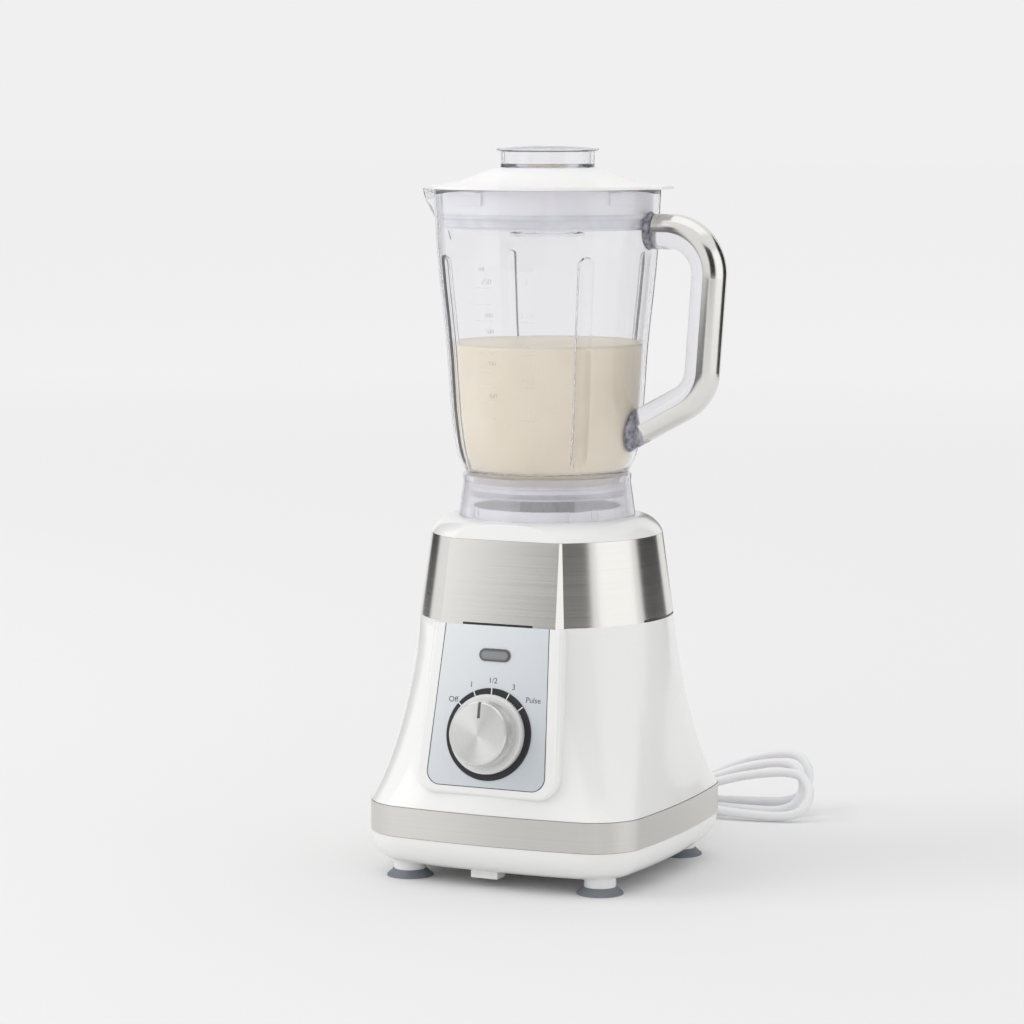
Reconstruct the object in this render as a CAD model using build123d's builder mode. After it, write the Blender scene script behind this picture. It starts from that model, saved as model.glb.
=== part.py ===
from build123d import *
import math
import os

# Countertop blender: motor base with a dial, lift-off jug on a blade collar, lid and measuring cap.
# Millimetres, +Z up, origin on the floor under the middle of the base.
# The control panel faces -Y, the jug's handle is at +X and its spout at -X.

os.makedirs("parts", exist_ok=True)

fit = 0.05  # radial clearance of a shaft in its hole, and of parts pressed together
gap = 0.4  # clearance between parts that move past each other

# ---- heights of the base ----
post_end = 4.2
tub_floor = 9.0
trim_bottom, trim_top = 26.3, 43.0
shell_bottom = 43.3
band_bottom, band_top = 145.4, 191.4
deck_top = 201.0

# ---- plan of the base ----
wall = 2.6
foot_spacing = 116.0
base_half, base_corner, base_turn = 84.5, 30.0, 6.6
trim_half, trim_corner = 85.0, 30.5
sheet_metal = 1.2
band_bottom_r, band_top_r = 71.5, 65.1

# ---- the flat front facet, which leans back and carries the control panel ----
facet_top_y = 57.4
facet_slope = 0.195
facet_half_top, facet_half_bottom = 33.0, 34.7
knob_height = 87.0
lamp_height = 129.7
insert_thickness = 1.0

# ---- knob ----
skirt_r, skirt_height = 21.0, 4.0
knob_r, knob_front = 17.2, 15.2
ring_inner_r, ring_outer_r = 21.4, 25.4
switch_shaft_r = 3.0

# ---- motor ----
shaft_r = 4.0
bearing_r = 11.0
stator_x, stator_y = 66.0, 58.0
stator_bottom, stator_top = 106.0, 140.0
bore_r = 17.0
leg_x, leg_y = 28.0, 24.0
mount_x, mount_y = 38.0, 32.0
upper_plate, lower_plate = 166.0, 88.0  # undersides of the two bracket plates
plate = 4.0
commutator_bottom, commutator_top, commutator_r = 149.0, 160.0, 10.0

# ---- couplers: two toothed discs that mesh above the deck ----
coupler_floor = 197.0
teeth_bottom, teeth_top = 202.0, 208.0
tooth_inner_r, tooth_outer_r, tooth_turn = 8.0, 15.4, 20.0

# ---- blade collar and jug ----
collar_bottom, collar_floor, flange_bottom, collar_top = 201.2, 213.0, 221.0, 224.0
collar_wall = 2.4
neck_r, neck_end = 41.2, 217.4
jug_wall = 2.4
jug_rim = 383.0
jug_outline = [(45.2, 224.4), (49.8, 233.9), (52.7, 248.0), (56.7, 297.5), (61.6, 346.2), (63.4, jug_rim)]
flute_width, flute_depth, flute_top = 6.0, 2.6, 347.0
spout_reach = 76.8

# ---- handle ----
handle_r, cladding = 9.8, 0.9
handle_path = [(50.0, 360.2), (98.9, 360.2), (92.6, 271.5), (44.0, 245.0)]
handle_bends = [23.0, 22.0]
cladding_start_x, cladding_end_x = 66.0, 59.0

# ---- lid and measuring cap ----
brim_r, brim_bottom, brim_top = 66.5, 383.4, 385.0
plateau_r, plateau = 29.5, 394.8
skirt_outer_r, skirt_bottom = 58.6, 361.0
cap_r, cap_rim_r, cap_bore_r = 26.2, 28.5, 24.6
cap_bottom, cap_top = 357.0, 405.3

# ---- power cord ----
cord_d = 5.5
bushing_x, bushing_z, bushing_tip_y = 45.0, 17.5, 107.0
hank_middle, hank_turn = (3.8, 164.6), 16.6
plug_y, plug_z = 203.0, 6.9


def cosd(degrees):
    return math.cos(math.radians(degrees))


def sind(degrees):
    return math.sin(math.radians(degrees))


def facet_y(height, inset=0.0):
    """The y of the leaning front facet at a height."""
    return -(facet_top_y + (band_top - height) * facet_slope) + inset


def bowed_square(half, corner_r, side_turn, height):
    """A closed outline of four bowed sides and four corners, all tangent.

    half is the distance to the middle of a side, and side_turn half the angle of a side's arc.
    """
    share = cosd(side_turn) - sind(side_turn)
    side_r = (half - corner_r * share) / (1 - share)
    corner_at = (side_r - corner_r) * sind(side_turn)
    side_end = Vector(side_r * sind(side_turn), side_r - half - side_r * cosd(side_turn))
    side_start = Vector(-side_end.X, side_end.Y)
    side_middle = Vector(0, -half)
    corner_middle = Vector(1, -1).normalized() * (corner_at * math.sqrt(2) + corner_r)
    with BuildSketch(Plane.XY.offset(height)) as outline:
        with BuildLine():
            for quarter in range(4):
                turn = 90 * quarter
                a, b, c = (p.rotate(Axis.Z, turn) for p in (side_start, side_middle, side_end))
                d, e = (p.rotate(Axis.Z, turn) for p in (corner_middle, side_start.rotate(Axis.Z, 90)))
                ThreePointArc(a, b, c)
                ThreePointArc(c, d, e)
        make_face()
    return outline.sketch


def flared_body(inset):
    """The body between its rounded square foot and the round band, drawn in by an inset."""
    sections = []
    for down in (0, 0.2, 0.4, 0.6, 0.8, 0.92, 1):
        half = band_bottom_r + 11 * down + 2 * down**8 - inset
        corner = band_bottom_r - (band_bottom_r - base_corner) * down**1.5 - inset
        turn = 30 - (30 - base_turn) * down
        height = band_bottom - (band_bottom - shell_bottom) * down
        sections.append(bowed_square(half, corner, turn, height))
    return loft(sections)


def crown(inset):
    """The upper cone of the base with its flat front facet, drawn in by an inset."""
    with BuildPart() as solid:
        with BuildSketch(Plane.XZ):
            Polygon(
                (0, band_bottom), (band_bottom_r - inset, band_bottom), (band_top_r - inset, band_top), (0, band_top),
                align=None,
            )
        revolve(axis=Axis.Z)
        for height, half in ((band_bottom, facet_half_bottom), (band_top, facet_half_top)):
            front = facet_y(height, inset)
            back = -40.0
            half_back = half - 0.5 * inset + 0.5 * (back - front)
            with BuildSketch(Plane.XY.offset(height)):
                Polygon(
                    (-half + 0.5 * inset, front), (half - 0.5 * inset, front), (half_back, back), (-half_back, back),
                    align=None,
                )
        loft()
        facet = Plane(
            origin=(0, facet_y(band_top, inset), band_top), x_dir=(1, 0, 0), z_dir=(0, -1, facet_slope)
        )
        split(bisect_by=facet, keep=Keep.BOTTOM)
    return solid.part


def panel_plane(height, out=0.0):
    """The facet's plane with its origin on the middle line at a height; out is towards the front."""
    flat = Plane(origin=(0, facet_y(height), height), x_dir=(1, 0, 0), z_dir=(0, -1, facet_slope))
    return flat.offset(out)


def up_panel(height):
    """How far up the leaning panel a height lies from the knob."""
    return (height - knob_height) * math.hypot(1, facet_slope)


def jug_solid(inset, bottom):
    """The jug's outside as a filled body, drawn in by an inset, down to a height."""
    r0, z0 = jug_outline[0]
    with BuildPart() as solid:
        with BuildSketch(Plane.XZ):
            with BuildLine():
                shoulder = (r0 - inset, z0 + 0.9 * inset)
                wall_line = Spline(shoulder, *[(r - inset, z) for r, z in jug_outline[1:]])
                Polyline(
                    shoulder, (neck_r - inset, shoulder[1]), (neck_r - inset, bottom), (0, bottom),
                    (0, jug_rim), wall_line @ 1,
                )
            make_face()
        revolve(axis=Axis.Z)
    return solid.part


def toothed_disc(bottom, top, teeth_from, teeth_to, first_angle):
    """A coupler: a disc with six upright teeth and a hole for the shaft."""
    with BuildPart() as coupler:
        with BuildSketch(Plane.XY.offset(bottom)):
            Circle(tooth_outer_r + 0.6)
            Circle(shaft_r + fit, mode=Mode.SUBTRACT)
        extrude(amount=top - bottom)
        with BuildSketch(Plane.XY.offset(teeth_from)):
            with BuildLine():
                turn = tooth_turn / 2
                inner = [Vector(tooth_inner_r, 0).rotate(Axis.Z, first_angle + a) for a in (-turn, 0, turn)]
                outer = [Vector(tooth_outer_r, 0).rotate(Axis.Z, first_angle + a) for a in (turn, 0, -turn)]
                ThreePointArc(*inner)
                Line(inner[2], outer[0])
                ThreePointArc(*outer)
                Line(outer[2], inner[0])
            tooth = make_face()
            for step in range(1, 6):
                add(tooth.rotate(Axis.Z, 60 * step))
        extrude(amount=teeth_to - teeth_from)
    return coupler.part


def round_part(*points):
    """A turned part from its half section, given as (radius, height) points."""
    with BuildPart() as turned:
        with BuildSketch(Plane.XZ):
            Polygon(*points, align=None)
        revolve(axis=Axis.Z)
    return turned.part


# ================= base: housing =================

with BuildPart() as body_shell:
    add(flared_body(0))
    # the pad of the control panel, with rounded front edges
    with BuildPart(mode=Mode.PRIVATE) as pad:
        with BuildSketch(panel_plane(knob_height, -16)):
            pad_top, pad_bottom = up_panel(band_bottom) + 2, up_panel(53.7)
            corners = Polygon((-38.5, pad_top), (-43.5, pad_bottom), (43.5, pad_bottom), (38.5, pad_top), align=None)
            fillet(corners.vertices().group_by(Axis.Y)[0], 12)
        extrude(amount=16)
        front = pad.faces().filter_by(panel_plane(knob_height)).sort_by(Axis.Y)[0]
        fillet(front.edges().sort_by(Axis.Z)[:-1], 2.4)
    add(pad.part)
    split(bisect_by=panel_plane(knob_height), keep=Keep.BOTTOM)
    split(bisect_by=Plane.XY.offset(band_bottom), keep=Keep.BOTTOM)
    # neck inside the steel band, and the skirt inside the trim ring
    add(crown(sheet_metal + fit))
    with BuildSketch(Plane.XY.offset(trim_bottom)):
        add(bowed_square(trim_half - sheet_metal - fit, trim_corner - sheet_metal - fit, base_turn, trim_bottom))
    extrude(amount=shell_bottom - trim_bottom)
    # the hollow, which keeps a full wall behind the facet
    with BuildPart(mode=Mode.PRIVATE) as hollow:
        add(flared_body(wall))
        split(bisect_by=panel_plane(knob_height, -4.0), keep=Keep.BOTTOM)
        add(crown(sheet_metal + fit + wall))
        with BuildSketch(Plane.XY.offset(trim_bottom)):
            add(bowed_square(trim_half - 4.0, trim_corner - 4.0, base_turn, trim_bottom))
        extrude(amount=shell_bottom - trim_bottom)
    add(hollow.part, mode=Mode.SUBTRACT)
    # recess for the panel insert, and the holes behind it
    with BuildSketch(panel_plane(knob_height, -insert_thickness)):
        insert_top, insert_bottom = up_panel(band_bottom), up_panel(58.0)
        corners = Polygon(
            (-31.4, insert_top + 1), (-35.5, insert_bottom), (35.5, insert_bottom), (31.4, insert_top + 1), align=None
        )
        fillet(corners.vertices().group_by(Axis.Y)[0], 8)
    extrude(amount=insert_thickness + 1, mode=Mode.SUBTRACT)
    with BuildSketch(panel_plane(knob_height, -10)):
        Circle(5.0)
        with Locations((0, up_panel(lamp_height))):
            SlotOverall(17.0, 5.4)
    extrude(amount=12, mode=Mode.SUBTRACT)
    # screw posts on webs inside the two side walls
    for side in (-1, 1):
        for y in (-20, 20):
            with BuildSketch(Plane.XY.offset(trim_bottom + 4)):
                with Locations((side * 71, y)):
                    Circle(4.5)
                with Locations((side * 77, y)):
                    Rectangle(10, 3)
            extrude(amount=14)
            with BuildSketch(Plane.XY.offset(trim_bottom + 4)):
                with Locations((side * 71, y)):
                    Circle(1.9)
            extrude(amount=12, mode=Mode.SUBTRACT)
body_shell.part.label = "body_shell"
export_step(body_shell.part, "parts/body_shell.step")

with BuildPart() as steel_band:
    add(crown(0))
    add(crown(sheet_metal), mode=Mode.SUBTRACT)
    # finger slots in the lower edge, in the middle of each side
    for turn in range(4):
        with BuildSketch(Plane.XY.offset(band_bottom)):
            with Locations(Vector(0, -66).rotate(Axis.Z, 90 * turn)):
                Rectangle(42, 24, rotation=90 * turn)
        extrude(amount=1.3, mode=Mode.SUBTRACT)
steel_band.part.label = "steel_band"
export_step(steel_band.part, "parts/steel_band.step")

with BuildPart() as trim_ring:
    with BuildSketch(Plane.XY.offset(trim_bottom)):
        add(bowed_square(trim_half, trim_corner, base_turn, trim_bottom))
        add(
            bowed_square(trim_half - sheet_metal, trim_corner - sheet_metal, base_turn, trim_bottom),
            mode=Mode.SUBTRACT,
        )
    extrude(amount=trim_top - trim_bottom)
trim_ring.part.label = "trim_ring"
export_step(trim_ring.part, "parts/trim_ring.step")

with BuildPart() as top_deck:
    with BuildSketch(Plane.XZ):
        with BuildLine():
            seat = band_top + 0.1
            ThreePointArc((band_top_r, seat), (60.6, 197.6), (50, deck_top))
            Polyline(
                (50, deck_top), (19, deck_top), (19, 194.5), (7, 194.5), (7, 192), (21.4, 192), (21.4, 198.6),
                (49, 198.6),
            )
            ThreePointArc((49, 198.6), (58.4, 195.5), (62.6, seat))
            Line((62.6, seat), (band_top_r, seat))
        make_face()
    revolve(axis=Axis.Z)
    split(bisect_by=panel_plane(knob_height), keep=Keep.BOTTOM)
    # the skirt that drops inside the neck
    with BuildPart(mode=Mode.PRIVATE) as skirt:
        add(crown(sheet_metal + wall + 2 * fit))
        add(crown(sheet_metal + wall + 2 * fit + 2), mode=Mode.SUBTRACT)
        split(bisect_by=Plane.XY.offset(184), keep=Keep.TOP)
        with BuildSketch(Plane.XY.offset(band_top)):
            Circle(63.4)
            Circle(57.0, mode=Mode.SUBTRACT)
        extrude(amount=2.4)
        split(bisect_by=panel_plane(knob_height, -2.0), keep=Keep.BOTTOM)
    add(skirt.part)
    # the wall that closes the dome behind the facet
    with BuildPart(mode=Mode.PRIVATE) as front_wall:
        with BuildSketch(Plane.XZ):
            with BuildLine():
                ThreePointArc((band_top_r, seat), (60.6, 197.6), (50, deck_top))
                Polyline((50, deck_top), (45, deck_top), (45, seat), (band_top_r, seat))
            make_face()
        revolve(axis=Axis.Z)
        split(bisect_by=panel_plane(knob_height), keep=Keep.BOTTOM)
        split(bisect_by=panel_plane(knob_height, -6.5), keep=Keep.TOP)
    add(front_wall.part)
    # ring and lugs that locate the collar
    with BuildSketch(Plane.XY.offset(deck_top)):
        Circle(43.6)
        Circle(41.4, mode=Mode.SUBTRACT)
        with PolarLocations(44.2, 4, start_angle=45):
            Rectangle(3.6, 8)
    extrude(amount=5)
    # posts for the motor's rubber mounts
    with BuildSketch(Plane.XY.offset(upper_plate + plate + 6)):
        with GridLocations(2 * mount_x, 2 * mount_y, 2, 2):
            Circle(5)
            Circle(1.7, mode=Mode.SUBTRACT)
    extrude(until=Until.NEXT)
top_deck.part.label = "top_deck"
export_step(top_deck.part, "parts/top_deck.step")

with BuildPart() as bottom_cover:
    tub_depth, tub_round = trim_bottom - 0.3 - tub_floor, 15.0
    sections = []
    for down in (0, 0.3, 0.6, 0.82, 0.94, 1):
        inset = tub_round * (1 - math.sqrt(1 - down**2))
        height = trim_bottom - 0.3 - tub_depth * down
        sections.append(bowed_square(base_half - inset, base_corner - inset, base_turn, height))
    loft(sections)
    with GridLocations(foot_spacing, foot_spacing, 2, 2):
        with Locations((0, 0, post_end)):
            Cylinder(9, 14, align=(Align.CENTER, Align.CENTER, Align.MIN))
    with Locations((-6, -66, 5.0)):
        Box(16, 10, 8, align=(Align.CENTER, Align.CENTER, Align.MIN))
    with BuildPart(mode=Mode.PRIVATE) as tub_hollow:
        inner = []
        for down in (0, 0.3, 0.6, 0.82, 0.94, 1):
            inset = tub_round * (1 - math.sqrt(1 - down**2)) + wall
            height = trim_bottom + 0.1 - (tub_depth - wall) * down
            inner.append(bowed_square(base_half - inset, base_corner - inset, base_turn, height))
        loft(inner)
    add(tub_hollow.part, mode=Mode.SUBTRACT)
    # a lip that stands inside the shell
    for start, end, outer in ((22.0, trim_bottom - 0.3, 2.5), (trim_bottom - 0.3, trim_bottom + 3.5, 4.1)):
        with BuildSketch(Plane.XY.offset(start)):
            add(bowed_square(trim_half - outer, trim_corner - outer, base_turn, start))
            add(bowed_square(trim_half - 6.1, trim_corner - 6.1, base_turn, start), mode=Mode.SUBTRACT)
        extrude(amount=end - start)
    # foot posts inside, and screw posts
    with BuildSketch(Plane.XY.offset(post_end)):
        with GridLocations(foot_spacing, foot_spacing, 2, 2):
            Circle(9)
    extrude(amount=16)
    with BuildSketch(Plane.XY.offset(13)):
        with GridLocations(142, 40, 2, 2):
            Circle(5.2)
    extrude(amount=17)
    with BuildSketch(Plane.XY.offset(post_end)):
        with GridLocations(foot_spacing, foot_spacing, 2, 2):
            Circle(4.0 + fit)
    extrude(amount=10, mode=Mode.SUBTRACT)
    with GridLocations(142, 40, 2, 2):
        with Locations((0, 0, 5)):
            Cylinder(4.2, 16, align=(Align.CENTER, Align.CENTER, Align.MIN), mode=Mode.SUBTRACT)
            Cylinder(2.2, 30, align=(Align.CENTER, Align.CENTER, Align.MIN), mode=Mode.SUBTRACT)
    # air slots under the fan
    with BuildSketch(Plane.XY.offset(tub_floor - 1)):
        with GridLocations(7, 0, 9, 1):
            SlotOverall(52, 3, rotation=90)
    extrude(amount=5, mode=Mode.SUBTRACT)
    # seat of the cord bushing in the rear wall
    with BuildSketch(Plane.XZ.offset(-70)):
        with Locations((bushing_x, bushing_z)):
            Circle(5.0 + fit)
    extrude(amount=-30, mode=Mode.SUBTRACT)
bottom_cover.part.label = "bottom_cover"
export_step(bottom_cover.part, "parts/bottom_cover.step")

with BuildPart() as suction_feet:
    with GridLocations(foot_spacing, foot_spacing, 2, 2):
        add(
            round_part(
                (0, 2.0), (8.0, 1.4), (11.0, 0), (13.0, 0), (12.8, 0.9), (11.2, 2.2), (9.2, post_end),
                (4.0, post_end), (4.0, 13.0), (0, 13.0),
            )
        )
suction_feet.part.label = "suction_feet"
export_step(suction_feet.part, "parts/suction_feet.step")

with BuildPart() as cover_screws:
    with GridLocations(142, 40, 2, 2):
        add(round_part((0, 17.6), (1.6, 17.6), (1.6, 18.6), (3.9, 18.6), (3.9, 21), (1.85, 21), (1.85, 40), (0, 41.5)))
cover_screws.part.label = "cover_screws"
export_step(cover_screws.part, "parts/cover_screws.step")

# ================= base: controls =================

with BuildPart() as control_panel:
    with BuildSketch(panel_plane(knob_height, -insert_thickness)):
        outline = Polygon(
            (-31.3, insert_top), (-35.35, insert_bottom + 0.15), (35.35, insert_bottom + 0.15), (31.3, insert_top),
            align=None,
        )
        fillet(outline.vertices().group_by(Axis.Y)[0], 7.9)
        Circle(4.0, mode=Mode.SUBTRACT)
        with Locations((0, up_panel(lamp_height))):
            SlotOverall(17.0, 5.4, mode=Mode.SUBTRACT)
    extrude(amount=insert_thickness)
control_panel.part.label = "control_panel"
export_step(control_panel.part, "parts/control_panel.step")

with BuildPart() as dial_ring:
    with BuildSketch(panel_plane(knob_height)):
        Circle(ring_outer_r)
        Circle(ring_inner_r, mode=Mode.SUBTRACT)
    extrude(amount=0.8)
    chamfer(dial_ring.faces().sort_by(Axis.Y)[0].edges(), 0.25)
dial_ring.part.label = "dial_ring"
export_step(dial_ring.part, "parts/dial_ring.step")

with BuildPart() as pilot_lens:
    with BuildSketch(panel_plane(lamp_height)):
        SlotOverall(18.7, 7.1)
    extrude(amount=1.0)
    fillet(pilot_lens.edges().group_by(Axis.Y)[0], 0.5)
    with BuildSketch(panel_plane(lamp_height)):
        SlotOverall(16.8, 5.2)
    extrude(amount=-5)
pilot_lens.part.label = "pilot_lens"
export_step(pilot_lens.part, "parts/pilot_lens.step")

with BuildPart() as lamp_board:
    with BuildSketch(panel_plane(lamp_height, -8)):
        RectangleRounded(26, 14, 2)
    extrude(amount=-1.6)
    with BuildSketch(panel_plane(lamp_height, -8)):
        Circle(2.4)
    extrude(amount=2.4)
lamp_board.part.label = "lamp_board"
export_step(lamp_board.part, "parts/lamp_board.step")

with BuildPart() as rotary_switch:
    with BuildSketch(panel_plane(knob_height, -4.2)):
        RectangleRounded(30, 28, 3)
        Circle(switch_shaft_r + fit, mode=Mode.SUBTRACT)
    extrude(amount=-16)
    with BuildSketch(panel_plane(knob_height, -20)):
        with GridLocations(8, 14, 3, 2):
            Rectangle(0.8, 5)
    extrude(amount=-6)
rotary_switch.part.label = "rotary_switch"
export_step(rotary_switch.part, "parts/rotary_switch.step")

with BuildPart() as switch_shaft:
    with BuildSketch(panel_plane(knob_height, -19)):
        Circle(switch_shaft_r)
    extrude(amount=31)
switch_shaft.part.label = "switch_shaft"
export_step(switch_shaft.part, "parts/switch_shaft.step")

with BuildPart() as knob_skirt:
    with BuildSketch(panel_plane(knob_height, gap)):
        Circle(skirt_r)
    extrude(amount=skirt_height)
    chamfer(knob_skirt.edges().group_by(Axis.Y)[0], 0.6)
    with BuildSketch(panel_plane(knob_height)):
        Circle(switch_shaft_r + fit)
    extrude(amount=10, mode=Mode.SUBTRACT)
knob_skirt.part.label = "knob_skirt"
export_step(knob_skirt.part, "parts/knob_skirt.step")

with BuildPart() as knob_cap:
    with BuildSketch(panel_plane(knob_height, gap + skirt_height)):
        Circle(knob_r)
    extrude(amount=knob_front - gap - skirt_height)
    chamfer(knob_cap.faces().sort_by(Axis.Y)[0].edges(), 0.8)
    with BuildSketch(panel_plane(knob_height, gap)):
        Circle(switch_shaft_r + fit)
    extrude(amount=12, mode=Mode.SUBTRACT)
    # the pointer, a groove from the middle of the face out to its edge
    with BuildSketch(panel_plane(knob_height, knob_front)):
        with Locations((0, knob_r - 4)):
            Rectangle(1.7, 10)
    extrude(amount=-0.8, mode=Mode.SUBTRACT)
knob_cap.part.label = "knob_cap"
export_step(knob_cap.part, "parts/knob_cap.step")

# ================= base: motor =================

with BuildPart() as stator:
    with BuildSketch(Plane.XY.offset(stator_bottom)):
        RectangleRounded(stator_x, stator_y, 6)
        Rectangle(50, 46, mode=Mode.SUBTRACT)
        with GridLocations(40, 0, 2, 1):
            Rectangle(14, 18)
        Circle(bore_r + 4)
        Rectangle(14, 50, mode=Mode.SUBTRACT)
        Circle(bore_r, mode=Mode.SUBTRACT)
        with GridLocations(2 * leg_x, 2 * leg_y, 2, 2):
            Circle(2.1, mode=Mode.SUBTRACT)
    extrude(amount=stator_top - stator_bottom)
stator.part.label = "stator"
export_step(stator.part, "parts/stator.step")

with BuildPart() as field_coils:
    stack = stator_top - stator_bottom
    with GridLocations(45.6, 0, 2, 1):
        with Locations((0, 0, (stator_bottom + stator_top) / 2)):
            Box(4, 36, stack + 14)
    fillet(field_coils.edges().filter_by(Axis.X), 5)
    with GridLocations(45.6, 0, 2, 1):
        with Locations((0, 0, (stator_bottom + stator_top) / 2)):
            Box(4, 18.2, stack + 0.2, mode=Mode.SUBTRACT)
field_coils.part.label = "field_coils"
export_step(field_coils.part, "parts/field_coils.step")

with BuildPart() as motor_bracket_top:
    with BuildSketch(Plane.XY.offset(upper_plate)):
        RectangleRounded(2 * mount_x + 16, 2 * mount_y + 16, 8)
    extrude(amount=plate)
    with BuildSketch(Plane.XY.offset(stator_top)):
        with GridLocations(2 * leg_x, 2 * leg_y, 2, 2):
            Circle(4.5)
    extrude(amount=upper_plate - stator_top)
    with BuildSketch(Plane.XY.offset(upper_plate - 3)):
        Circle(bearing_r + 2.4)
    extrude(amount=plate + 8)
    with BuildSketch(Plane.XY.offset(upper_plate)):
        Circle(bearing_r + fit)
    extrude(amount=20, mode=Mode.SUBTRACT)
    with BuildSketch(Plane.XY.offset(upper_plate - 5)):
        Circle(shaft_r + 2)
    extrude(amount=8, mode=Mode.SUBTRACT)
    with BuildSketch(Plane.XY.offset(stator_top - 1)):
        with GridLocations(2 * leg_x, 2 * leg_y, 2, 2):
            Circle(2.1)
        with GridLocations(2 * mount_x, 2 * mount_y, 2, 2):
            Circle(2.2)
    extrude(amount=40, mode=Mode.SUBTRACT)
motor_bracket_top.part.label = "motor_bracket_top"
export_step(motor_bracket_top.part, "parts/motor_bracket_top.step")

with BuildPart() as motor_bracket_bottom:
    with BuildSketch(Plane.XY.offset(lower_plate)):
        RectangleRounded(stator_x, stator_y, 6)
    extrude(amount=plate)
    with BuildSketch(Plane.XY.offset(lower_plate)):
        with GridLocations(2 * leg_x, 2 * leg_y, 2, 2):
            Circle(4.5)
    extrude(amount=stator_bottom - lower_plate)
    with BuildSketch(Plane.XY.offset(lower_plate - 8)):
        Circle(bearing_r + 2.4)
    extrude(amount=11)
    with BuildSketch(Plane.XY.offset(lower_plate - 9)):
        Circle(bearing_r + fit)
    extrude(amount=9, mode=Mode.SUBTRACT)
    with BuildSketch(Plane.XY.offset(lower_plate - 1)):
        Circle(shaft_r + 2)
        with GridLocations(2 * leg_x, 2 * leg_y, 2, 2):
            Circle(2.1)
    extrude(amount=25, mode=Mode.SUBTRACT)
motor_bracket_bottom.part.label = "motor_bracket_bottom"
export_step(motor_bracket_bottom.part, "parts/motor_bracket_bottom.step")

with BuildPart() as upper_bearing:
    with BuildSketch(Plane.XY.offset(upper_plate)):
        Circle(bearing_r)
        Circle(shaft_r + fit, mode=Mode.SUBTRACT)
    extrude(amount=7)
upper_bearing.part.label = "upper_bearing"
export_step(upper_bearing.part, "parts/upper_bearing.step")

with BuildPart() as lower_bearing:
    with BuildSketch(Plane.XY.offset(lower_plate - 7)):
        Circle(bearing_r)
        Circle(shaft_r + fit, mode=Mode.SUBTRACT)
    extrude(amount=7)
lower_bearing.part.label = "lower_bearing"
export_step(lower_bearing.part, "parts/lower_bearing.step")

with BuildPart() as through_bolts:
    with GridLocations(2 * leg_x, 2 * leg_y, 2, 2):
        add(
            round_part(
                (0, lower_plate - 4), (3.6, lower_plate - 4), (3.6, lower_plate), (2, lower_plate),
                (2, upper_plate + plate), (3.4, upper_plate + plate), (3.4, upper_plate + plate + 3),
                (0, upper_plate + plate + 3),
            )
        )
through_bolts.part.label = "through_bolts"
export_step(through_bolts.part, "parts/through_bolts.step")

with BuildPart() as rubber_mounts:
    with BuildSketch(Plane.XY.offset(upper_plate + plate)):
        with GridLocations(2 * mount_x, 2 * mount_y, 2, 2):
            Circle(7)
            Circle(2, mode=Mode.SUBTRACT)
    extrude(amount=6)
    chamfer(rubber_mounts.edges().filter_by(GeomType.CIRCLE).filter_by(lambda e: e.radius > 5), 0.8)
rubber_mounts.part.label = "rubber_mounts"
export_step(rubber_mounts.part, "parts/rubber_mounts.step")

with BuildPart() as mount_screws:
    with GridLocations(2 * mount_x, 2 * mount_y, 2, 2):
        add(
            round_part(
                (0, upper_plate - 2.6), (3.6, upper_plate - 2.6), (3.6, upper_plate), (1.65, upper_plate),
                (1.65, upper_plate + 22), (0, upper_plate + 23.5),
            )
        )
mount_screws.part.label = "mount_screws"
export_step(mount_screws.part, "parts/mount_screws.step")

with BuildPart() as brush_holders:
    for side in (-1, 1):
        with Locations((0, side * 22.5, (commutator_bottom + upper_plate) / 2)):
            Box(11, 17, upper_plate - commutator_bottom)
            with Locations((0, 0, -2.5)):
                Box(5.1, 20, 6.1, mode=Mode.SUBTRACT)
brush_holders.part.label = "brush_holders"
export_step(brush_holders.part, "parts/brush_holders.step")

with BuildPart() as carbon_brushes:
    for side in (-1, 1):
        with Locations((0, side * 17.4, (commutator_bottom + upper_plate) / 2 - 2.5)):
            Box(5, 14, 6)
carbon_brushes.part.label = "carbon_brushes"
export_step(carbon_brushes.part, "parts/carbon_brushes.step")

# ================= rotor =================

with BuildPart() as motor_shaft:
    with BuildSketch(Plane.XY.offset(62)):
        Circle(shaft_r)
    extrude(amount=coupler_floor + 4 - 62)
    chamfer(motor_shaft.edges().group_by(Axis.Z)[0], 0.6)
motor_shaft.part.label = "motor_shaft"
export_step(motor_shaft.part, "parts/motor_shaft.step")

with BuildPart() as armature:
    with BuildSketch(Plane.XY.offset(stator_bottom)):
        Circle(bore_r - 0.6)
        Circle(shaft_r + fit, mode=Mode.SUBTRACT)
        with PolarLocations(bore_r - 5.0, 12):
            SlotOverall(6, 1.8, mode=Mode.SUBTRACT)
    extrude(amount=stator_top - stator_bottom)
armature.part.label = "armature"
export_step(armature.part, "parts/armature.step")

with BuildPart() as armature_windings:
    for bottom, top in ((stator_bottom - 8, stator_bottom), (stator_top, stator_top + 7)):
        add(
            round_part(
                (shaft_r + fit, bottom), (12, bottom), (14.5, bottom + 2), (14.5, top - 1), (13, top),
                (shaft_r + fit, top),
            )
        )
armature_windings.part.label = "armature_windings"
export_step(armature_windings.part, "parts/armature_windings.step")

with BuildPart() as commutator:
    with BuildSketch(Plane.XY.offset(commutator_bottom)):
        Circle(commutator_r)
        Circle(shaft_r + fit, mode=Mode.SUBTRACT)
        with PolarLocations(commutator_r, 24):
            Rectangle(1.6, 0.5, mode=Mode.SUBTRACT)
    extrude(amount=commutator_top - commutator_bottom)
commutator.part.label = "commutator"
export_step(commutator.part, "parts/commutator.step")

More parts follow.
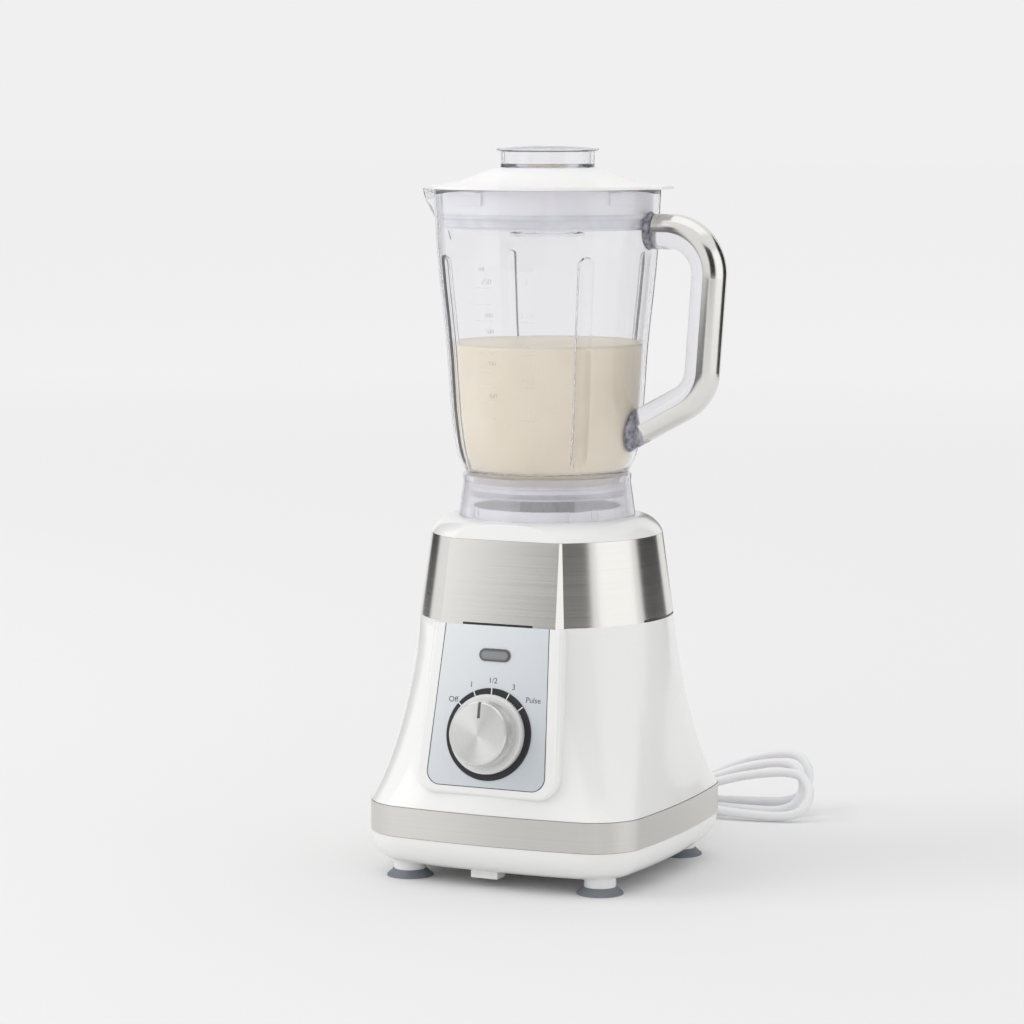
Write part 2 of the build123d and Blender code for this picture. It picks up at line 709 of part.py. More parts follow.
with BuildPart() as cooling_fan:
    with BuildSketch(Plane.XY.offset(65)):
        Circle(32)
        Circle(shaft_r + fit, mode=Mode.SUBTRACT)
    extrude(amount=1.6)
    with BuildSketch(Plane.XY.offset(65)):
        Circle(8)
        Circle(shaft_r + fit, mode=Mode.SUBTRACT)
        with PolarLocations(21, 9):
            Rectangle(20, 1.4, rotation=28)
    extrude(amount=12)
cooling_fan.part.label = "cooling_fan"
export_step(cooling_fan.part, "parts/cooling_fan.step")

with BuildPart() as drive_coupler:
    add(toothed_disc(coupler_floor, teeth_bottom, teeth_bottom, teeth_top, 0))
drive_coupler.part.label = "drive_coupler"
export_step(drive_coupler.part, "parts/drive_coupler.step")

# ================= blade unit =================

with BuildPart() as blade_collar:
    add(
        round_part(
            (10.55, collar_floor), (neck_r + 0.5, collar_floor), (neck_r + 2.6, collar_floor - 1),
            (neck_r + 2.6, flange_bottom - 1), (46.9 - collar_wall, flange_bottom - 1),
            (49.7 - collar_wall, collar_bottom), (49.7, collar_bottom), (46.9, flange_bottom), (47.3, flange_bottom),
            (47.3, collar_top), (neck_r + 0.4, collar_top), (neck_r + 0.4, collar_floor + 2.5),
            (10.55, collar_floor + 2.5),
        )
    )
    # keys that stop against the deck's lugs
    with BuildSketch(Plane.XY.offset(collar_bottom)):
        with PolarLocations(46.9, 4, start_angle=58):
            Rectangle(2.0, 4)
    extrude(amount=6)
blade_collar.part.label = "blade_collar"
export_step(blade_collar.part, "parts/blade_collar.step")

with BuildPart() as jug_gasket:
    with BuildSketch(Plane.XY.offset(collar_floor + 2.5)):
        Circle(neck_r + 0.3)
        Circle(36, mode=Mode.SUBTRACT)
    extrude(amount=1.7)
jug_gasket.part.label = "jug_gasket"
export_step(jug_gasket.part, "parts/jug_gasket.step")

with BuildPart() as bearing_housing:
    add(
        round_part(
            (6.55, 212.3), (10.5, 212.3), (10.5, collar_floor + 2.5), (17, collar_floor + 2.5), (17, 217.4),
            (12, 219.5), (10.5, 226), (6.55, 226),
        )
    )
bearing_housing.part.label = "bearing_housing"
export_step(bearing_housing.part, "parts/bearing_housing.step")

with BuildPart() as blade_bush:
    with BuildSketch(Plane.XY.offset(212.6)):
        Circle(6.5)
        Circle(shaft_r + fit, mode=Mode.SUBTRACT)
    extrude(amount=13)
blade_bush.part.label = "blade_bush"
export_step(blade_bush.part, "parts/blade_bush.step")

with BuildPart() as shaft_seal:
    with BuildSketch(Plane.XY.offset(226)):
        Circle(9)
        Circle(shaft_r + 0.3, mode=Mode.SUBTRACT)
    extrude(amount=1.8)
    chamfer(shaft_seal.edges().group_by(Axis.Z)[-1].sort_by(SortBy.RADIUS)[-1], 0.6)
shaft_seal.part.label = "shaft_seal"
export_step(shaft_seal.part, "parts/shaft_seal.step")

with BuildPart() as blade_shaft:
    with BuildSketch(Plane.XY.offset(204)):
        Circle(shaft_r)
    extrude(amount=35)
    chamfer(blade_shaft.edges().group_by(Axis.Z)[-1], 0.6)
blade_shaft.part.label = "blade_shaft"
export_step(blade_shaft.part, "parts/blade_shaft.step")


def bent_blade(bottom, reach, rise, turn):
    """A two-winged cutter of 1.5 mm sheet whose wings bend up or down past the hub."""
    with BuildPart() as cutter:
        with BuildSketch(Plane.XZ):
            for way in (-1, 1):
                Polygon(
                    (0, bottom), (way * 9, bottom), (way * reach, bottom + rise), (way * reach, bottom + rise + 1.5),
                    (way * 9, bottom + 1.5), (0, bottom + 1.5), align=None,
                )
        extrude(amount=9, both=True)
        with BuildSketch(Plane.XY.offset(bottom - 20)):
            Circle(8)
            for way in (-1, 1):
                Polygon(
                    (0, -way * 6), (way * reach, -way * 3), (way * (reach + 1), way * 1), (way * 8, way * 6),
                    (0, way * 6), align=None,
                )
            Circle(shaft_r + fit, mode=Mode.SUBTRACT)
        extrude(amount=60, mode=Mode.INTERSECT)
    return cutter.part.rotate(Axis.Z, turn)


with BuildPart() as lower_blade:
    add(bent_blade(228.4, 29, -3.5, 20))
lower_blade.part.label = "lower_blade"
export_step(lower_blade.part, "parts/lower_blade.step")

with BuildPart() as upper_blade:
    add(bent_blade(230.0, 25, 12, 110))
upper_blade.part.label = "upper_blade"
export_step(upper_blade.part, "parts/upper_blade.step")

with BuildPart() as blade_nut:
    with BuildSketch(Plane.XY.offset(231.6)):
        RegularPolygon(7.5, 6)
    extrude(amount=6)
    with Locations((0, 0, 237.6)):
        Sphere(6)
    with BuildSketch(Plane.XY.offset(231)):
        Circle(shaft_r + fit)
    extrude(amount=8.4, mode=Mode.SUBTRACT)
blade_nut.part.label = "blade_nut"
export_step(blade_nut.part, "parts/blade_nut.step")

with BuildPart() as driven_coupler:
    add(toothed_disc(teeth_top + gap, 211.8, teeth_bottom + gap, teeth_top + gap, 30))
driven_coupler.part.label = "driven_coupler"
export_step(driven_coupler.part, "parts/driven_coupler.step")

# ================= jug =================


def spout_wedge(inset, back, top):
    """The pouring lip: a pointed wedge that leans out of the wall up to the rim."""
    with BuildPart() as wedge:
        for height, tip, half in (
            (top, spout_reach - 1.4 * inset, 19 - 1.2 * inset),
            (jug_rim - 7, spout_reach - 2.5 - 1.4 * inset, 16 - 1.2 * inset),
            (jug_rim - 27, 62.0 - inset, 5 - inset),
        ):
            with BuildSketch(Plane.XY.offset(height)):
                Polygon(
                    (back, -half), (back, half), (-57, half), (-tip, 1.5), (-tip, -1.5), (-57, -half), align=None
                )
        loft(ruled=True)
    return wedge.part


with BuildPart() as jug:
    add(jug_solid(0, neck_end))
    add(spout_wedge(0, -30, jug_rim))
    add(jug_solid(jug_wall, neck_end - 5), mode=Mode.SUBTRACT)
    add(spout_wedge(jug_wall, -50, jug_rim + 1), mode=Mode.SUBTRACT)
    # four flutes pressed into the wall, as ribs inside and grooves outside
    for inset, width, way in ((jug_wall + flute_depth, flute_width + 3.6, 1), (flute_depth, flute_width, -1)):
        with BuildPart(mode=Mode.PRIVATE) as flutes:
            add(jug_solid(inset, neck_end))
            split(bisect_by=Plane.XY.offset(228), keep=Keep.TOP)
        with BuildPart(mode=Mode.PRIVATE) as bars:
            with BuildSketch(Plane.XY.offset(228)):
                with PolarLocations(52, 4, start_angle=45):
                    Rectangle(40, width)
            extrude(amount=flute_top + (1.8 if way == 1 else 0) - 228)
            if way == 1:
                add(jug_solid(jug_wall - 0.1, neck_end), mode=Mode.INTERSECT)
            add(flutes.part, mode=Mode.SUBTRACT)
        add(bars.part, mode=Mode.ADD if way == 1 else Mode.SUBTRACT)
jug.part.label = "jug"
export_step(jug.part, "parts/jug.step")


def on_run(a, b, x):
    """The point at x on the straight run of the handle from a to b."""
    return x, a[1] + (b[1] - a[1]) * (x - a[0]) / (b[0] - a[0])


cladding_start = on_run(handle_path[0], handle_path[1], cladding_start_x)
cladding_end = on_run(handle_path[-2], handle_path[-1], cladding_end_x)


def handle_line():
    """The middle line of the steel-clad stretch, in the plane y = 0."""
    points = [cladding_start, *handle_path[1:-1], cladding_end]
    return FilletPolyline(*[(x, 0, z) for x, z in points], radius=handle_bends)


with BuildPart() as handle_cladding:
    with BuildLine():
        handle_line()
    start_plane = Plane(origin=(cladding_start[0], 0, cladding_start[1]), x_dir=(0, 1, 0), z_dir=(1, 0, 0))
    with BuildSketch(start_plane):
        Circle(handle_r)
        Circle(handle_r - cladding, mode=Mode.SUBTRACT)
        with Locations((0, -handle_r)):
            Rectangle(4 * handle_r, 2 * handle_r, mode=Mode.SUBTRACT)
    sweep()
handle_cladding.part.label = "handle_cladding"
export_step(handle_cladding.part, "parts/handle_cladding.step")

with BuildPart() as handle_core:
    with BuildLine():
        handle_line()
    # full on the inner side, and thinner under the steel on the outer side
    with BuildSketch(start_plane):
        Circle(handle_r - cladding)
        with Locations((0, -handle_r)):
            Rectangle(4 * handle_r, 2 * handle_r, mode=Mode.SUBTRACT)
        with BuildSketch(mode=Mode.PRIVATE) as inner_half:
            Circle(handle_r)
            with Locations((0, handle_r)):
                Rectangle(4 * handle_r, 2 * handle_r, mode=Mode.SUBTRACT)
        add(inner_half.sketch)
    sweep()
    # the two round ends that run into the jug's wall
    with BuildPart(mode=Mode.PRIVATE) as ends:
        for wall_end, grip_end in ((handle_path[0], cladding_start), (handle_path[-1], cladding_end)):
            way = Vector(grip_end[0] - wall_end[0], 0, grip_end[1] - wall_end[1])
            with BuildSketch(Plane(origin=(wall_end[0], 0, wall_end[1]), z_dir=way)):
                Circle(handle_r)
            extrude(amount=way.length)
        add(jug_solid(0, neck_end), mode=Mode.SUBTRACT)
    add(ends.part)
handle_core.part.label = "handle_core"
export_step(handle_core.part, "parts/handle_core.step")

# ================= lid and cap =================

with BuildPart() as lid:
    with BuildSketch(Plane.XZ):
        with BuildLine():
            Line((brim_r, brim_bottom), (brim_r, brim_top))
            ThreePointArc((brim_r, brim_top), (50, 387.4), (36, 392.6))
            Polyline(
                (36, 392.6), (plateau_r, plateau), (cap_bore_r, plateau), (cap_bore_r, 381), (cap_bore_r + 1.8, 381),
                (cap_bore_r + 1.8, 392.2), (35, 390),
            )
            ThreePointArc((35, 390), (48, 385.4), (skirt_outer_r - 2, 383.6))
            Polyline(
                (skirt_outer_r - 2, 383.6), (skirt_outer_r - 2, skirt_bottom), (skirt_outer_r, skirt_bottom),
                (skirt_outer_r, brim_bottom), (brim_r, brim_bottom),
            )
        make_face()
    revolve(axis=Axis.Z)
    # thumb tab over the handle
    with BuildSketch(Plane.XY.offset(brim_bottom)):
        with Locations((64, 0)):
            RectangleRounded(17, 24, 4)
    extrude(amount=brim_top - brim_bottom)
    # raised pads on the skirt that steady the lid in the jug
    with BuildSketch(Plane.XY.offset(375)):
        with PolarLocations(skirt_outer_r, 4, start_angle=-112):
            Rectangle(1.2, 19)
    extrude(amount=6)
lid.part.label = "lid"
export_step(lid.part, "parts/lid.step")

with BuildPart() as lid_seal:
    seal = skirt_outer_r + fit
    add(
        round_part(
            (seal, 362.4), (59.6, 362.4), (59.9, 363.2), (59.2, 364.4), (59.2, 366.4), (60.2, 367.6), (60.2, 368.6),
            (59.2, 369.6), (seal, 369.6),
        )
    )
lid_seal.part.label = "lid_seal"
export_step(lid_seal.part, "parts/lid_seal.step")

with BuildPart() as measuring_cap:
    with BuildSketch(Plane.XZ):
        with BuildLine():
            Polyline(
                (0, cap_top - 0.8), (24.2, cap_top - 1.6), (24.2, plateau + 2.4), (22.0, plateau + 0.4),
                (16.6, cap_bottom + 2), (16.6, cap_bottom), (21.0, cap_bottom), (21.0, cap_bottom + 1.6),
                (18.6, cap_bottom + 2.6), (23.8, plateau - 2), (23.8, plateau + 0.3), (cap_r, plateau + 0.3),
                (cap_r, cap_top - 1.6), (cap_rim_r, cap_top - 0.8), (cap_rim_r, cap_top + 0.2),
            )
            dome_edge, dome_rise = cap_top + 0.2, 1.6
            dome_r = (cap_rim_r**2 + dome_rise**2) / (2 * dome_rise)
            half_turn = math.degrees(math.asin(cap_rim_r / dome_r)) / 2
            dome_middle = (dome_r * sind(half_turn), dome_edge + dome_rise - dome_r * (1 - cosd(half_turn)))
            ThreePointArc((cap_rim_r, dome_edge), dome_middle, (0, dome_edge + dome_rise))
            Line((0, dome_edge + dome_rise), (0, dome_edge - 1.0))
        make_face()
    revolve(axis=Axis.Z)
    with BuildSketch(Plane.XY.offset(plateau + 2.4)):
        with PolarLocations(24.4, 4, start_angle=25):
            Rectangle(1.8, 3.4)
    extrude(amount=8.4)
measuring_cap.part.label = "measuring_cap"
export_step(measuring_cap.part, "parts/measuring_cap.step")

# ================= power cord =================

lead_route = [
    (bushing_x, bushing_tip_y, bushing_z), (45, 123.5, 15.4), (36.5, 138.2, 10.4), (22, 146.9, 5.6),
    (1.8, 147.4, 3.2), (-18.5, 141.8, 2.9), (-37, 135, 4.8),
]
tail_route = [
    (-84, 151, 3.4), (-104, 145.2, 2.8), (-120.5, 150.5, 2.8), (-131, 164, 2.8), (-131.5, 181.5, 2.8),
    (-121.5, 196, 3.2), (-105, 203.3, 5.4), (-86, plug_y, plug_z),
]


def route_radii(route):
    """For each corner of a route, the radius that uses 0.45 of its shorter run."""
    radii = []
    for a, b, c in zip(route, route[1:], route[2:]):
        before, after = Vector(*b) - Vector(*a), Vector(*c) - Vector(*b)
        half_turn = before.get_angle(after) / 2
        radii.append(0.45 * min(before.length, after.length) / math.tan(math.radians(half_turn)))
    return radii


def cord_tube(route):
    """A round cord along straight runs joined by tangent arcs."""
    radii = route_radii(route)
    print("cord radii", [round(r) for r in radii])
    with BuildPart() as tube:
        with BuildLine() as line:
            FilletPolyline(*route, radius=radii)
        with BuildSketch(Plane(origin=line.line @ 0, z_dir=line.line % 0)):
            Circle(cord_d / 2)
        sweep()
    length = sum(edge.length for edge in line.line.edges())
    print("cord length", round(length), "volume ratio", tube.part.volume / (length * math.pi * cord_d**2 / 4))
    return tube.part


with BuildPart() as cord_bushing:
    with BuildSketch(Plane.XZ.offset(-79)):
        with Locations((bushing_x, bushing_z)):
            Circle(5.0)
    extrude(amount=-5)
    with BuildSketch(Plane.XZ.offset(-77)):
        with Locations((bushing_x, bushing_z)):
            Circle(6.4)
    extrude(amount=-2)
    for start, r in ((84, 6.6), (87, 6.2), (bushing_tip_y, 3.6)):
        with BuildSketch(Plane.XZ.offset(-start)):
            with Locations((bushing_x, bushing_z)):
                Circle(r)
    loft(ruled=True)
cord_bushing.part.label = "cord_bushing"
export_step(cord_bushing.part, "parts/cord_bushing.step")

with BuildPart() as cord_lead:
    add(cord_tube(lead_route))
cord_lead.part.label = "cord_lead"
export_step(cord_lead.part, "parts/cord_lead.step")

hank_place = Location((*hank_middle, 0), (0, 0, hank_turn))


def across_hank(along, rear, height):
    """A plane square to the hank, at a distance from its tie."""
    return Plane(origin=(along, rear, height), x_dir=(0, 1, 0), z_dir=(1, 0, 0))


with BuildPart() as cord_hank:
    with BuildPart(mode=Mode.PRIVATE) as hank:
        # stations along the hank: distance from the tie, width, height and how far it lies to the rear
        for along, across, tall, rear in (
            (-92, 18, 18, -1), (-86, 44, 28, -1), (-72, 54, 33, -1), (-42, 40, 27, -1), (-5, 20, 22, 0),
            (5, 20, 22, 0), (40, 40, 32, 3), (72, 56, 38, 4), (86, 46, 32, 4), (92, 20, 20, 3),
        ):
            with BuildSketch(across_hank(along, rear, tall / 2 + 0.3)):
                Ellipse(across / 2, tall / 2)
        loft(ruled=True)
    add(hank.part.moved(hank_place))
cord_hank.part.label = "cord_hank"
export_step(cord_hank.part, "parts/cord_hank.step")

with BuildPart() as cord_tie:
    with BuildPart(mode=Mode.PRIVATE) as band:
        with BuildSketch(across_hank(-4, 0, 11.3)):
            Ellipse(11.2, 12.1)
            Ellipse(9.8, 10.8, mode=Mode.SUBTRACT)
        extrude(amount=8)
        split(bisect_by=Plane.XY.offset(0.05), keep=Keep.TOP)
    add(band.part.moved(hank_place))
cord_tie.part.label = "cord_tie"
export_step(cord_tie.part, "parts/cord_tie.step")

with BuildPart() as cord_tail:
    add(cord_tube(tail_route))
cord_tail.part.label = "cord_tail"
export_step(cord_tail.part, "parts/cord_tail.step")

with BuildPart() as plug_body:
    for x, across, tall in ((-86, 8, 8), (-62, 12, 10), (-54, 26, 13), (-24, 35, 13.6)):
        with BuildSketch(Plane(origin=(x, plug_y, plug_z), x_dir=(0, 1, 0), z_dir=(1, 0, 0))):
            RectangleRounded(across, tall, min(across, tall) / 2 - 0.4)
    loft(ruled=True)
plug_body.part.label = "plug_body"
export_step(plug_body.part, "parts/plug_body.step")

with BuildPart() as plug_pins:
    for y in (-9, 9):
        with BuildSketch(Plane(origin=(-24, plug_y + y, plug_z), x_dir=(0, 1, 0), z_dir=(1, 0, 0))):
            Circle(2)
        extrude(amount=19)
    fillet(plug_pins.edges().group_by(Axis.X)[-1], 1.2)
plug_pins.part.label = "plug_pins"
export_step(plug_pins.part, "parts/plug_pins.step")
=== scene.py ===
import math

import bmesh
import bpy
from mathutils import Matrix, Vector


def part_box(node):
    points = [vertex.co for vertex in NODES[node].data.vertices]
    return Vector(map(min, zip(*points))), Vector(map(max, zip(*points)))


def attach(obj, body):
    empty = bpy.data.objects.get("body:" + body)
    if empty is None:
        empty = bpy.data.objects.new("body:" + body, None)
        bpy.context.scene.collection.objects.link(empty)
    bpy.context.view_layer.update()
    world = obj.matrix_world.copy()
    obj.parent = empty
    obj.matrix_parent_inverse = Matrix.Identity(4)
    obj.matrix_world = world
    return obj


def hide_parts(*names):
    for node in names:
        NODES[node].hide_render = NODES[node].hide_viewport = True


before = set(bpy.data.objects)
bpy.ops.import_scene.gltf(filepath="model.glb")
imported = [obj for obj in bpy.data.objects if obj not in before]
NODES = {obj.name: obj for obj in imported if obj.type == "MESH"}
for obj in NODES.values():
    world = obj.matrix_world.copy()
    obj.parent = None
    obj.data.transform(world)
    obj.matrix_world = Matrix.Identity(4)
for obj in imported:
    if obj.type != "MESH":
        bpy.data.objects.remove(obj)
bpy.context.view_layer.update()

# Countertop blender, in metres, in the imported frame: +Z up, control panel towards -Y, handle at +X.
mm = 0.001


# ---------------------------------------------------------------- camera

CAMERA_AZIMUTH, CAMERA_PITCH = math.radians(24.7), math.radians(6.334)
camera_data = bpy.data.cameras.new("camera")
camera_data.lens = 124.6
camera_data.clip_end = 50
camera = bpy.data.objects.new("camera", camera_data)
camera.location = (0.8115, -1.8116, 0.422)
camera.rotation_euler = (math.pi / 2 - CAMERA_PITCH, 0, CAMERA_AZIMUTH)
bpy.context.scene.collection.objects.link(camera)
bpy.context.scene.camera = camera


# ---------------------------------------------------------------- helpers

def link(name, data):
    """A new object of that data in the scene."""
    made = bpy.data.objects.new(name, data)
    bpy.context.scene.collection.objects.link(made)
    return made


def mesh_object(name, points, faces, material, smooth=True):
    """A mesh piece from its points and faces, with its faces turned outwards."""
    mesh = bpy.data.meshes.new(name)
    mesh.from_pydata([tuple(p) for p in points], [], faces)
    work = bmesh.new()
    work.from_mesh(mesh)
    bmesh.ops.remove_doubles(work, verts=work.verts, dist=1e-6)
    bmesh.ops.recalc_face_normals(work, faces=work.faces)
    work.to_mesh(mesh)
    work.free()
    for face in mesh.polygons:
        face.use_smooth = smooth
    mesh.materials.append(material)
    return link(name, mesh)


def set_material(name, material):
    """Gives a carried-over CAD node its material."""
    for slot in NODES[name].material_slots:
        slot.material = material


# ---------------------------------------------------------------- material building

class Shader:
    """A Principled material with a few short ways to drive it from procedural nodes."""

    def __init__(self, name, color, roughness, metallic=0.0, **more):
        self.material = bpy.data.materials.new(name)
        self.material.use_nodes = True
        self.tree = self.material.node_tree
        self.shader = self.tree.nodes["Principled BSDF"]
        self.output = self.tree.nodes["Material Output"]
        self.color = color
        self.set("Base Color", (*color, 1))
        self.set("Roughness", roughness)
        self.set("Metallic", metallic)
        for socket, value in more.items():
            self.set(socket.replace("_", " "), value)
        self.coordinates = self.add("TexCoord").outputs["Object"]

    def set(self, socket, value):
        self.shader.inputs[socket].default_value = value

    def add(self, kind, **inputs):
        """A node of a kind, with its inputs set by name."""
        node = self.tree.nodes.new("ShaderNode" + kind)
        for socket, value in inputs.items():
            self.join(value, node.inputs[socket.replace("_", " ")])
        return node

    def join(self, value, socket):
        """Links an output to a socket, or sets the socket to a number."""
        if isinstance(value, bpy.types.NodeSocket):
            self.tree.links.new(value, socket)
        else:
            socket.default_value = value

    def math(self, operation, *values):
        """The output of a math node on numbers or outputs."""
        node = self.tree.nodes.new("ShaderNodeMath")
        node.operation = operation
        for value, socket in zip(values, node.inputs):
            self.join(value, socket)
        return node.outputs[0]

    def vector(self, operation, *values, output=0):
        """An output of a vector math node on vectors or outputs."""
        node = self.tree.nodes.new("ShaderNodeVectorMath")
        node.operation = operation
        for value, socket in zip(values, node.inputs):
            self.join(value, socket)
        return node.outputs[output]

    def stretched(self, scale):
        """The object's coordinates, scaled by three numbers per metre."""
        return self.vector("MULTIPLY", self.coordinates, scale)

    def noise(self, scale, detail=3.0, coordinates=None):
        """Noise of that many cells per metre, from 0 to 1."""
        node = self.add("TexNoise", Scale=scale, Detail=detail)
        self.join(coordinates or self.coordinates, node.inputs["Vector"])
        return node.outputs["Fac"]

    def spread(self, value, low, high):
        """A value from about 0.3 to 0.7 spread over another range."""
        node = self.add("MapRange", From_Min=0.3, From_Max=0.7, To_Min=low, To_Max=high)
        self.join(value, node.inputs["Value"])
        return node.outputs["Result"]

    def tint(self, factor, first, second):
        """The base colour runs from first to second with a factor."""
        node = self.tree.nodes.new("ShaderNodeMix")
        node.data_type = "RGBA"
        self.join(factor, node.inputs["Factor"])
        node.inputs["A"].default_value = (*first, 1)
        node.inputs["B"].default_value = (*second, 1)
        color = next(o for o in node.outputs if o.type == "RGBA")
        self.tree.links.new(color, self.shader.inputs["Base Color"])

    def vary(self, value, share):
        """The base colour drifts a little about its own value."""
        darker = tuple(c * (1 - share) for c in self.color)
        self.tint(self.spread(value, 0.0, 1.0), darker, self.color)

    def tangent(self, axis):
        """The tangent runs round an axis, and a quarter turn spreads the gloss across the brushing."""
        node = self.add("Tangent")
        node.direction_type, node.axis = "RADIAL", axis
        self.tree.links.new(node.outputs[0], self.shader.inputs["Tangent"])
        self.set("Anisotropic Rotation", 0.25)

    def rough(self, value, low, high):
        """The roughness follows a value."""
        self.join(self.spread(value, low, high), self.shader.inputs["Roughness"])

    def bump(self, height, distance, strength):
        """Bump of a real height in metres."""
        node = self.add("Bump", Strength=strength, Distance=distance)
        self.join(height, node.inputs["Height"])
        self.tree.links.new(node.outputs["Normal"], self.shader.inputs["Normal"])


def moulded_plastic(name, color, roughness, **more):
    """Glossy or satin moulded plastic: a faint orange peel and slightly uneven gloss."""
    s = Shader(name, color, roughness, IOR=1.52, **more)
    s.vary(s.noise(14), 0.025)
    s.rough(s.noise(60, 4), roughness * 0.88, roughness * 1.15)
    s.bump(s.noise(420, 2), 0.00003, 0.35)
    return s.material


def brushed_metal(name, color, roughness, grain, depth=0.000012, **more):
    """Metal brushed along the directions where grain, in cells per metre, is low."""
    s = Shader(name, color, roughness, 1.0, **more)
    if "Anisotropic" in more:
        s.tangent("Z")
    lines = s.noise(1.0, 5, s.stretched(grain))
    s.vary(lines, 0.05)
    s.rough(lines, roughness * 0.88, roughness * 1.12)
    s.bump(lines, depth, 0.5)
    return s.material


def machined_metal(name, color, roughness):
    """Plain turned or stamped metal with fine random wear."""
    s = Shader(name, color, roughness, 1.0)
    wear = s.noise(260, 5)
    s.vary(wear, 0.15)
    s.rough(wear, roughness * 0.75, roughness * 1.35)
    s.bump(wear, 0.00001, 0.4)
    return s.material


def clear_plastic(name, color, roughness, edge_tint, density, clarity):
    """Clear plastic that tints along its edges, where light runs far inside it, and lets lamps through."""
    s = Shader(name, color, roughness, IOR=1.36, Transmission_Weight=clarity)
    s.rough(s.noise(90, 4), roughness * 0.6, roughness * 1.6)
    s.bump(s.noise(55, 2), 0.00004, 0.25)
    absorb = s.add("VolumeAbsorption", Color=(*edge_tint, 1), Density=density)
    s.tree.links.new(absorb.outputs["Volume"], s.output.inputs["Volume"])
    see_through = s.add("BsdfTransparent", Color=(0.93, 0.93, 0.95, 1))
    path = s.add("LightPath")
    lamps = s.math("MAXIMUM", path.outputs["Is Shadow Ray"], path.outputs["Is Diffuse Ray"])
    mix = s.add("MixShader")
    s.join(lamps, mix.inputs[0])
    s.tree.links.new(s.shader.outputs[0], mix.inputs[1])
    s.tree.links.new(see_through.outputs[0], mix.inputs[2])
    s.tree.links.new(mix.outputs[0], s.output.inputs["Surface"])
    return s.material


def rubber(name, color, roughness, **more):
    """Matt rubber with a fine grain and a dusty bloom."""
    s = Shader(name, color, roughness, IOR=1.5, **more)
    s.vary(s.noise(120, 5), 0.16)
    s.rough(s.noise(400, 3), roughness * 0.9, min(1.0, roughness * 1.15))
    s.bump(s.noise(1800, 2), 0.00004, 0.3)
    return s.material


def spun_metal(name, color, node):
    """Turned metal: fine rings about the knob's own axis, which leans with the panel."""
    low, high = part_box(node)
    s = Shader(name, color, 0.3, 1.0, Anisotropic=0.8)
    s.tangent("Y")
    middle = tuple((low + high) / 2)
    axis = tuple(Vector((0, -1, PANEL_SLOPE)).normalized())
    from_axis = s.vector("CROSS_PRODUCT", s.vector("SUBTRACT", s.coordinates, middle), axis)
    radius = s.vector("LENGTH", from_axis, output="Value")
    ring = s.add("CombineXYZ")
    s.join(s.math("MULTIPLY", radius, 4200.0), ring.inputs["X"])
    rings = s.noise(1.0, 4, ring.outputs[0])
    s.vary(rings, 0.06)
    s.rough(rings, 0.26, 0.34)
    s.bump(rings, 0.000005, 0.5)
    return s.material


def silver_panel():
    """Pale silver-blue lacquered sheet with a fine metallic fleck; painted light makes it lighter towards its
    top left and painted shade darker towards its bottom right.
    """
    s = Shader("silver_panel", (0.70, 0.74, 0.77), 0.32, 0.35, Coat_Weight=0.4, Coat_Roughness=0.12)
    low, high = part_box("control_panel")
    parts = s.add("SeparateXYZ", Vector=s.coordinates)
    across = s.add("MapRange", From_Min=low.x, From_Max=high.x)
    s.join(parts.outputs["X"], across.inputs["Value"])
    down = s.add("MapRange", From_Min=high.z, From_Max=low.z)
    s.join(parts.outputs["Z"], down.inputs["Value"])
    # painted light and shade: the sheet's colour runs from light at its top left to dark at its bottom right
    sideways = s.math("MULTIPLY", across.outputs[0], 0.45)
    painted_shading = s.math("ADD", sideways, s.math("MULTIPLY", down.outputs[0], 0.55))
    s.tint(painted_shading, (0.80, 0.83, 0.85), (0.60, 0.64, 0.68))
    s.rough(s.noise(900, 2), 0.28, 0.38)
    s.bump(s.noise(2500, 1), 0.00001, 0.3)
    return s.material


def smoked_lens():
    """Smoked clear lens, with painted shade that darkens it along its rim and a painted highlight that makes
    its middle paler.
    """
    s = Shader("smoked_lens", (0.2, 0.2, 0.2), 0.2, Coat_Weight=0.8, Coat_Roughness=0.05)
    low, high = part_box("pilot_lens")
    middle, half = (low + high) / 2, (high - low) / 2
    parts = s.add("SeparateXYZ", Vector=s.vector("SUBTRACT", s.coordinates, tuple(middle)))
    beyond = s.math("SUBTRACT", s.math("ABSOLUTE", parts.outputs["X"]), half.x - half.z)
    beyond = s.math("MAXIMUM", beyond, 0.0)
    squares = [s.math("POWER", length, 2.0) for length in (beyond, parts.outputs["Z"])]
    to_rim = s.math("SQRT", s.math("ADD", *squares))
    # painted shade towards the rim and a painted highlight in the middle: the colour runs from pale in the
    # middle to dark at the rim
    rim = s.add("MapRange", From_Min=0.45 * half.z, From_Max=0.8 * half.z)
    s.join(to_rim, rim.inputs["Value"])
    s.tint(rim.outputs["Result"], (0.25, 0.25, 0.26), (0.075, 0.077, 0.083))
    s.bump(s.noise(420, 2), 0.00003, 0.3)
    return s.material


def pebbled_plastic():
    """Smoke-violet clear plastic with a pebbled face, as on the pads where the handle meets the jug."""
    s = Shader(
        "pebbled_plastic", (0.42, 0.41, 0.50), 0.12, IOR=1.5, Transmission_Weight=0.35, Coat_Weight=0.6
    )
    pebbles = s.add("TexVoronoi", Scale=420.0)
    s.join(s.coordinates, pebbles.inputs["Vector"])
    s.tint(pebbles.outputs["Distance"], (0.05, 0.048, 0.08), (0.62, 0.61, 0.70))
    s.bump(pebbles.outputs["Distance"], 0.0005, 0.8)
    return s.material


def wound_copper():
    """Enamelled wire wound in layers, as close parallel turns."""
    s = Shader("wound_copper", (0.55, 0.22, 0.10), 0.35, 0.85, Coat_Weight=0.5, Coat_Roughness=0.2)
    wave = s.add("TexWave", Scale=420.0, Distortion=0.6, Detail=1.0)
    wave.bands_direction = "Z"
    s.join(s.coordinates, wave.inputs["Vector"])
    s.vary(wave.outputs["Fac"], 0.35)
    s.bump(wave.outputs["Fac"], 0.0003, 0.6)
    return s.material


